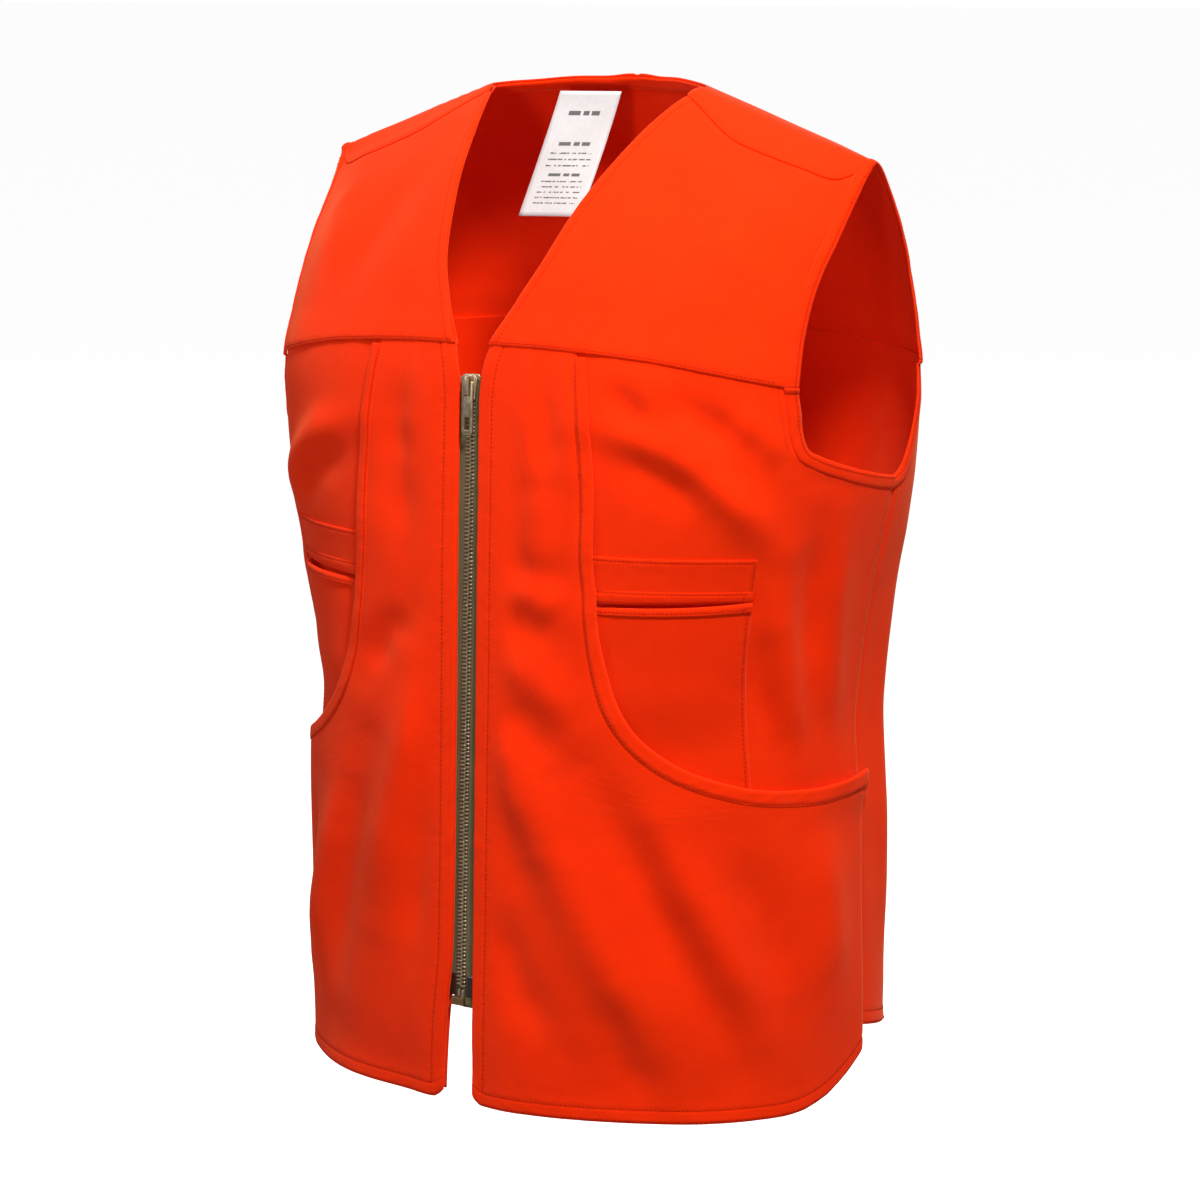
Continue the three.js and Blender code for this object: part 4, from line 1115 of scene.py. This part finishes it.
def back_yoke_bend(row, s, u):
    """Bends the highest rows to just behind the shoulder seam."""
    top = shoulder_seam(s) - 0.003 - (1.843 + (1.772 - 1.843) * u)
    return top * np.interp(row, [8, 9, 10], [0, 0.55, 1])


def twins(left, right, height, bend=None, **options):
    """The two halves of a cut that crosses the centre line."""
    return [Cut(left, right, height, side, bend, **options) for side in (1, -1)]


cuts = twins(back_yoke_middle, back_yoke_arm, back_yoke_height, back_yoke_bend, edges=(0, 1, 1, 1),
             corner=NECKLINE[-1])
back_yoke = cloth_piece("back_and_shoulders_cloth", cuts, "back", ["back_yoke"], [("low", YOKE_STITCH)])
for cut in cuts:
    sew("back", cut, "low", YOKE_STITCH, (0, 2))
declare(back_yoke, cuts[0], "hung", halves=2)

# ---- back ----------------------------------------------------------------------------------------
back_v = [3.95, 3.84, 3.73, 3.62, 3.51, 3.4, 3.3, 3.2, 3.11, 3.07, 3.03, 2.99, 2.95, 2.888]
back_side = [[1, 3.9], [1, 3.8], [1, 3.7], [1, 3.6], [1, 3.5], [1, 3.4], [1, 3.3], [1, 3.2], [1, 3.117],
             [0.94, 3.1], [0.88, 3.065], [0.82, 3.01], [0.79, 2.967], [0.757, 2.888]]


def back_height(s, v, cut):
    return 1.2 + turned(cut.low, HEM_STITCH, 0.35) + sunk(cut.right, 0.8, 2.5) * (v > 3.115)


def back_bend(row, s, u):
    """Bends the lowest rows to the back hem's curve."""
    return (back_hem(s) - (BACK_HEM - BACK_HEM_RISE * u)) * np.clip(1 - row / 2, 0, 1)


cuts = twins([[0, v] for v in back_v], back_side, back_height, back_bend, edges=(0, 1, 1, 1))
back_cloth = cloth_piece("back_cloth", cuts, "back", ["back_panel"],
                         [("low", HEM_STITCH), ("low", HEM_EDGE_STITCH)])
for cut in cuts:
    sew("back", cut, "low", HEM_STITCH, (0, 1))
    sew("back", cut, "low", HEM_EDGE_STITCH, (0, 1))
declare(back_cloth, cuts[0], "hung", ["back_and_shoulders_cloth"], halves=2)

# ---- armhole edges, hems and facings -------------------------------------------------------------
ARM_STITCH, ARM_FRONT_STITCH = 6.9, 7.3
HEM_TURN, HEM_GAP = 10.5, 0.0004   # depth of a hem in mm, and how far in it starts, in v
ZIP_FACING = ZIP_EDGE + 22         # mm from the centre line to the zip facing's inner edge
NEAR_CHEST = 240                   # mm of cloth for one unit of v just above the chest line


def inset(line, mm):
    """The line mm inside a sewing line, measured on the cloth."""
    s, v = np.array(line, float).T
    here = form(s, v)
    along = unit(np.gradient(here, axis=0))
    want = unit(np.cross(outward(s, v), along)) * -mm
    e = 0.002
    es = np.where(s + e > 1, -e, e)
    ds = (form(s + es, v) - here) / es[:, None]
    dv = (form(s, v + e) - here) / e
    A, B, C = (ds * ds).sum(1), (ds * dv).sum(1), (dv * dv).sum(1)
    f, g, D = (ds * want).sum(1), (dv * want).sum(1), A * C - B * B
    return np.stack([np.minimum(s + (f * C - g * B) / D, 1), v + (g * A - f * B) / D], -1)


def arm_level(s, v):
    """Height of the cloth that an armhole edge is turned over."""
    over_seam = (v - yoke_seam(np.minimum(s, 0.64))) * NEAR_CHEST
    lap = 1.7 * (1 - smooth(2, 30, over_seam)) * (v > 1.06) * (v < 1.5)
    shoulder = 0.7 * np.exp(-(((v - 1.76) / 0.05) ** 2))
    back = 1.2 * (1 - smooth(2, 24, (2.905 - v) * NEAR_CHEST)) * (v < 2.905) * (v > 2.6)
    return np.where(v < 1.071, 1.3, np.where(v < 2.905, 1.5, 1.2)) + lap + shoulder + back


def arm_wrap(cut):
    """Height of an armhole's turned edge, gathered a little, over the cloth it wraps."""
    return 1.87 * (1 - np.exp(-cut.left / 0.55)), 0.5 * ripple(cut.low, 5)


def arm_height(s, v, cut):
    """A turned edge, stitched down and dying away into the cloth."""
    wrapped, gathered = arm_wrap(cut)
    inner = smooth(5.5, 8.6, cut.left)
    edge = wrapped - 1.0 + line_of_stitches(cut.left, ARM_STITCH, 0.2, 0.9)
    return arm_level(s, v) + edge * (1 - inner) - 0.25 * inner + gathered


def arm_front_height(s, v, cut):
    """A separate band under the arm, with an edge of its own."""
    wrapped, gathered = arm_wrap(cut)
    stitched = line_of_stitches(cut.left, ARM_FRONT_STITCH, 0.2)
    return arm_level(s, v) + wrapped - 0.9 - 0.55 * np.exp(-cut.right / 0.5) + stitched + gathered


def behind(top, by, start, stop):
    """Heights of a facing: top at its edge, and changed by so many mm from start to stop mm in from there."""
    return lambda s, v, cut: top + by * smooth(start, stop, cut.left)


ARM_LINE = ARM_FRONT + ARM_YOKE[1:] + ARM_SHOULDER[1:] + ARM_BACK[1:]
ARM_OUT, ARM_IN = inset(ARM_LINE, -0.5), inset(ARM_LINE, 9.0)
ARM_PARTS = (("front", ARM_FRONT, "front_cloth_{}"), ("yoke", ARM_YOKE, "yoke_cloth_{}"),
             ("shoulder", ARM_SHOULDER, "back_and_shoulders_cloth"), ("back", ARM_BACK, "back_cloth"))
HEM_S = [0.12, 0.25, 0.37, 0.5, 0.6, 0.7, 0.78, 0.85, 0.91, 0.96, 0.998]
facing_v = [0.013, 0.06, 0.12, 0.2, 0.3, 0.6, 0.85, 1, 1.04]
for side, word in SIDES:
    first = 0
    for name, line, panel in ARM_PARTS:
        part, key = slice(first, first + len(line)), word if name in ("front", "yoke") else "back"
        first += len(line) - 1
        height, stitch = arm_height, ARM_STITCH
        if name == "front":
            height, stitch = arm_front_height, ARM_FRONT_STITCH
        cut = Cut(ARM_OUT[part], ARM_IN[part], height, side, split=10, edges=PLAIN, step=1.15, across=12)
        strip_of(panel.format(word), f"armhole_edge_{name}_{word}", cut, key, f"armhole_binding_{name}_{word}",
                 [("left", ARM_STITCH)], 1.1)
        sew(key, cut, "left", stitch, (0, 0))

    hem_s = np.array([[float(s_at(ZIP_FACING, 0))] + HEM_S]).T
    low = np.hstack([hem_s, front_hem(hem_s) + HEM_GAP])
    high = np.hstack([hem_s, front_hem(hem_s) + HEM_TURN / RISE])
    cut = Cut(low, high, behind(-0.1, -0.7, 0, 3), side, split=6, edges=PLAIN, step=2.0, across=10)
    strip_of(f"front_cloth_{word}", f"front_hem_cloth_{word}", cut, word, f"front_hem_{word}",
             [("left", HEM_STITCH), ("left", HEM_EDGE_STITCH)])

    cut = Cut(front_edge(facing_v, side, 0.8), at_zip(facing_v, ZIP_FACING), behind(-3.3, 2.0, 10, 20), side,
              split=12, edges=PLAIN, step=2.6, across=12)
    strip_of(f"front_cloth_{word}", f"zip_facing_cloth_{word}", cut, word, f"zip_facing_{word}",
             [("left", PLACKET)])

    cut = Cut(inset(V_NECK, 0.2), inset(V_NECK, 9.0), behind(-0.1, -0.25, 0, 2), side, split=12, edges=PLAIN,
              step=1.8, across=10)
    strip_of(f"yoke_cloth_{word}", f"neck_facing_cloth_{word}", cut, word, f"neck_facing_{word}",
             [("left", NECK_STITCH)], 0.9)


def chained(a, b, outwards=False):
    """Two mirrored strips sewn end to end at the centre line, where they end, or start if they run outwards."""
    whole = object.__new__(Cut)
    whole.side = 1
    for key in ("s", "v", "left", "right", "p", "n"):
        one, two = getattr(a, key), getattr(b, key)
        one, two = (one[::-1], two) if outwards else (one, two[::-1])
        setattr(whole, key, np.concatenate([one, two[1:]], axis=0))
    run, rise = whole.left, travelled(whole.p.transpose(1, 0, 2)).T
    whole.low, whole.top = rise, rise[-1:] - rise
    whole.uv = np.stack([run, rise], -1) * MM
    return whole


rim, rim_in = inset(NECKLINE, 0.2), inset(NECKLINE, 9.5)
rim[-1, 0] = rim_in[-1, 0] = 0
facings = twins(rim, rim_in, behind(-0.3, -1.4, 0, 2.5), split=12, edges=PLAIN, step=1.6, across=10)
strip_of("back_and_shoulders_cloth", "back_neck_facing_cloth", chained(*facings), "back", "back_neck_facing",
         [("left", 8)])
hem_s = np.linspace(0, 0.998, 14)[:, None]
low, high = (np.hstack([hem_s, back_hem(hem_s) - up]) for up in (HEM_GAP, HEM_TURN / RISE))
hems = twins(low, high, behind(-0.15, -0.7, 0, 3), split=6, edges=PLAIN, step=2.0, across=10)
strip_of("back_cloth", "back_hem_cloth", chained(*hems, outwards=True), "back", "back_hem",
         [("left", HEM_STITCH), ("left", HEM_EDGE_STITCH)])

for obj, cut, held, rests, halves, strips in sheets.values():
    w, h, area = cut.size()

# ---- size label ----------------------------------------------------------------------------------
LABEL_W, LABEL_L = 42.0, 84.0
LABEL_SLANT, LABEL_TURN = 0.25, 0.35       # lean sideways, and turn about an upright line
LABEL_HANG = 0.965                         # drop as a share of the length
LABEL_PLACE = np.array([-24, 18, -4])


def label_points():
    """The label, sewn at its top, leaning sideways and curling forwards as it hangs."""
    across, down = np.meshgrid(np.linspace(-0.5, 0.5, 15), np.linspace(0, 1, 29))
    x = LABEL_W * across
    z = -LABEL_L * LABEL_HANG * down
    y = -30 * down**1.3 + 1.2 * np.sin(across * 3.1) * np.sin(down * 3.0) + 0.8 * np.cos(across * 4) * down**2
    p = np.stack([x, y, z], -1)
    p[..., 0] += LABEL_SLANT * z
    c, s = math.cos(LABEL_TURN), math.sin(LABEL_TURN)
    p = np.stack([c * p[..., 0] - s * p[..., 1], s * p[..., 0] + c * p[..., 1], p[..., 2]], -1)
    uv = np.stack([(across + 0.5) * LABEL_W, down * LABEL_L], -1) * MM
    return p + LABEL_PLACE, uv


label = piece("woven_label", grid_mesh("woven_label", *label_points()), "back_and_shoulders", satin_material,
              ["size_label"])
thicken(label, 0.3, 0)

# ---- zip -----------------------------------------------------------------------------------------
ZIP_TOP = -176.0
ZIP_FRONT = -(HEM_DEPTH - ZIP_LEAN * (ZIP_TOP - HEM_Z))
FILM_END = -576.2
zip_turn = math.atan(ZIP_LEAN)


def down(z):
    """Distance along the leaning zip of a level z."""
    return (z - ZIP_TOP) * math.hypot(1, ZIP_LEAN)


def on_zip(x, y, z):
    """Points of the vest for the zip's own x, depth y and distance z along it."""
    x, y, z = np.broadcast_arrays(*(np.asarray(q, float) for q in (x, y, z)))
    c, s = math.cos(zip_turn), math.sin(zip_turn)
    return np.stack([x, ZIP_FRONT + y * c + z * s, ZIP_TOP - y * s + z * c], -1)


ZIP_MATRIX = Matrix.Translation(Vector((0, ZIP_FRONT, ZIP_TOP))) @ Matrix.Rotation(-zip_turn, 4, "X")


def tape_mesh(name, side, x, y, z):
    """A sheet beside the zip's centre line, with its front face outwards."""
    me = grid_mesh(name, on_zip(side * x, y, z), np.stack([x, z], -1) * MM)
    if me.polygons[0].normal.y > 0:
        me.flip_normals()
    return me


def tape(side, word):
    """One side's tape, beaded beside the teeth, and the film on its end."""
    end = down(-583) if side > 0 else down(FILM_END)
    x, z = np.meshgrid(np.concatenate([np.linspace(0.3, 5.2, 12), np.linspace(5.8, 17.7, 9)]),
                       np.linspace(end, down(-178), 190))
    y = 1.9 - 0.45 * np.exp(-(((x - 3.9) / 0.6) ** 2)) + 0.06 * np.sin(z / 9 + x / 5) * smooth(6, 9, x)
    me = tape_mesh(f"zip_tape_cloth_{word}", side, x, y, z)
    obj = piece(me.name, me, FOLLOWS[word], tape_material, [f"zip_tape_{word}"])
    thicken(obj, 0.8)
    x, z = np.meshgrid(np.linspace(3.4, 15, 8), np.linspace(down(FILM_END), down(-562), 8))
    me = tape_mesh(f"tape_end_film_{word}", side, x, 1.75 - 0.55 * np.exp(-(((x - 3.9) / 0.75) ** 2)), z)
    obj = piece(me.name, me, FOLLOWS[word], film_material, [f"zip_tape_film_{word}"])
    thicken(obj, 0.5)


TEETH, TOOTH_PITCH = 156, 2.5


def tooth_mesh():
    """One pressed metal tooth: a short bar with a rounded, dimpled head, in the zip's own directions."""
    bm = bmesh.new()
    bmesh.ops.create_cube(bm, size=1)
    bmesh.ops.scale(bm, vec=(3.5, 2.1, 1.15), verts=bm.verts)
    bmesh.ops.translate(bm, vec=(1.4, 1.45, 0), verts=bm.verts)
    head = [v for v in bm.verts if v.co.x < 0]
    for v in head:
        v.co.y = 1.45 + (v.co.y - 1.45) * 0.82
    bmesh.ops.bevel(bm, geom=bm.edges[:], offset=0.26, segments=1, affect="EDGES", profile=0.5, material=-1)
    me = bpy.data.meshes.new("tooth")
    bm.to_mesh(me)
    bm.free()
    return me


def chain(side, word):
    """One side's teeth, half a pitch lower on the -X side, and its top stop."""
    one = tooth_mesh()
    bm = bmesh.new()
    first = down(-181) - 1.1 - (0 if side > 0 else TOOTH_PITCH / 2)
    for k in range(TEETH - (side < 0)):
        before = len(bm.verts)
        bm.from_mesh(one)
        bm.verts.ensure_lookup_table()
        new = bm.verts[before:]
        if side < 0:
            bmesh.ops.scale(bm, vec=(-1, 1, 1), verts=new)
        bmesh.ops.translate(bm, vec=(0, 0, first - k * TOOTH_PITCH), verts=new)
    top = bmesh.ops.create_cube(bm, size=1)["verts"]
    bmesh.ops.scale(bm, vec=(2.3, 2.4, 2.6), verts=top)
    bmesh.ops.translate(bm, vec=(side * 2.1, 1.5, down(-179.4)), verts=top)
    edges = list({e for v in top for e in v.link_edges})
    bmesh.ops.bevel(bm, geom=edges, offset=0.4, segments=2, affect="EDGES", profile=0.5, material=-1)
    bmesh.ops.recalc_face_normals(bm, faces=bm.faces)
    bmesh.ops.scale(bm, vec=(MM, MM, MM), verts=bm.verts)
    frame_mm = Matrix.Scale(MM, 4) @ ZIP_MATRIX @ Matrix.Scale(1 / MM, 4)
    bmesh.ops.transform(bm, matrix=frame_mm, verts=bm.verts)
    me = bpy.data.meshes.new(f"zip_teeth_{word}")
    bm.to_mesh(me)
    bm.free()
    bpy.data.meshes.remove(one)
    piece(me.name, me, f"front_{word}", metal_material, [f"zip_chain_{word}", f"zip_top_stop_{word}"])


def eased_copy(node, name, body, material, offset):
    """A copy of a metal part with its sharp edges rounded."""
    bm = bmesh.new()
    bm.from_mesh(bpy.data.objects[node].data)
    bmesh.ops.remove_doubles(bm, verts=bm.verts, dist=2e-6)
    bmesh.ops.dissolve_limit(bm, angle_limit=math.radians(1.0), verts=bm.verts, edges=bm.edges)
    sharp = [e for e in bm.edges if len(e.link_faces) == 2 and e.calc_face_angle(0) > math.radians(25)]
    bmesh.ops.bevel(bm, geom=sharp, offset=offset * MM, segments=2, affect="EDGES", profile=0.5, material=-1,
                    clamp_overlap=True)
    bmesh.ops.recalc_face_normals(bm, faces=bm.faces)
    me = bpy.data.meshes.new(name)
    bm.to_mesh(me)
    bm.free()
    me.shade_smooth()
    return piece(name, me, body, material, [node])


for side, word in SIDES:
    tape(side, word)
    chain(side, word)
eased_copy("zip_insertion_pin", "zip_pin_right", "front_right", metal_material, 0.3)
eased_copy("zip_retainer_pin", "zip_pin_left", "front_left", metal_material, 0.3)
eased_copy("zip_retainer_box", "zip_box", "front_left", brass_material, 0.35)
eased_copy("zip_slider", "zip_slider_body", "slider", metal_material, 0.3)
eased_copy("zip_pull", "zip_pull_tab", "pull", metal_material, 0.28)

# ---- stitching -----------------------------------------------------------------------------------
PITCH, THREAD = 2.9, 0.6


def stitch_rows(points, normals):
    """A thread of even stitches along a line: it rides on the cloth and dips through it between stitches."""
    run = np.concatenate([[0], np.cumsum(np.linalg.norm(np.diff(points, axis=0), axis=1))])
    count = int(run[-1] / PITCH)
    at = (np.arange(count)[:, None] + np.array([0.0, 0.14, 0.5, 0.86])[None]).ravel() * PITCH
    high = np.tile([-0.45, 0.2, 0.3, 0.2], count)
    p = np.stack([np.interp(at, run, points[:, k]) for k in range(3)], -1)
    n = unit(np.stack([np.interp(at, run, normals[:, k]) for k in range(3)], -1))
    across = unit(np.cross(n, np.gradient(p, axis=0)))
    rows = [p + n * (high + up)[:, None] + across * off
            for off, up in ((-THREAD / 2, -0.22), (0, 0.0), (THREAD / 2, -0.22))]
    return np.stack(rows, 1)


for key, lines in stitches.items():
    whole = bmesh.new()
    for points, normals in lines:
        if len(points) < 3:
            continue
        me = grid_mesh("thread", stitch_rows(points, normals))
        whole.from_mesh(me)
        bpy.data.meshes.remove(me)
    me = bpy.data.meshes.new("stitches_" + key)
    whole.to_mesh(me)
    whole.free()
    me.shade_smooth()
    piece("stitches_" + key, me, FOLLOWS[key], thread_material)

# ---- floor ---------------------------------------------------------------------------------------
def add_floor(level=-1.05):
    """A pale floor well under the hem, wide enough to reach the horizon."""
    bm = bmesh.new()
    bmesh.ops.create_grid(bm, x_segments=1, y_segments=1, size=120)
    bmesh.ops.translate(bm, vec=(0, 0, level), verts=bm.verts)
    me = bpy.data.meshes.new("floor")
    bm.to_mesh(me)
    bm.free()
    obj = bpy.data.objects.new("floor", me)
    bpy.context.collection.objects.link(obj)
    mat, tree, bsdf = new_material("pale_floor", 0.95)
    bsdf.inputs["Base Color"].default_value = (0.9, 0.9, 0.9, 1)
    bsdf.inputs["Emission Color"].default_value = (1, 1, 1, 1)
    bsdf.inputs["Specular IOR Level"].default_value = 0.0
    bsdf.inputs["Emission Strength"].default_value = 0.76
    dull = tree.nodes.new("ShaderNodeBsdfDiffuse")
    dull.inputs["Color"].default_value = (0.35, 0.34, 0.33, 1)
    mixed = tree.nodes.new("ShaderNodeMixShader")
    tree.links.new(tree.nodes.new("ShaderNodeLightPath").outputs["Is Camera Ray"], mixed.inputs[0])
    tree.links.new(dull.outputs[0], mixed.inputs[1])
    tree.links.new(bsdf.outputs[0], mixed.inputs[2])
    tree.links.new(mixed.outputs[0], tree.nodes["Material Output"].inputs["Surface"])
    me.materials.append(mat)


add_floor()
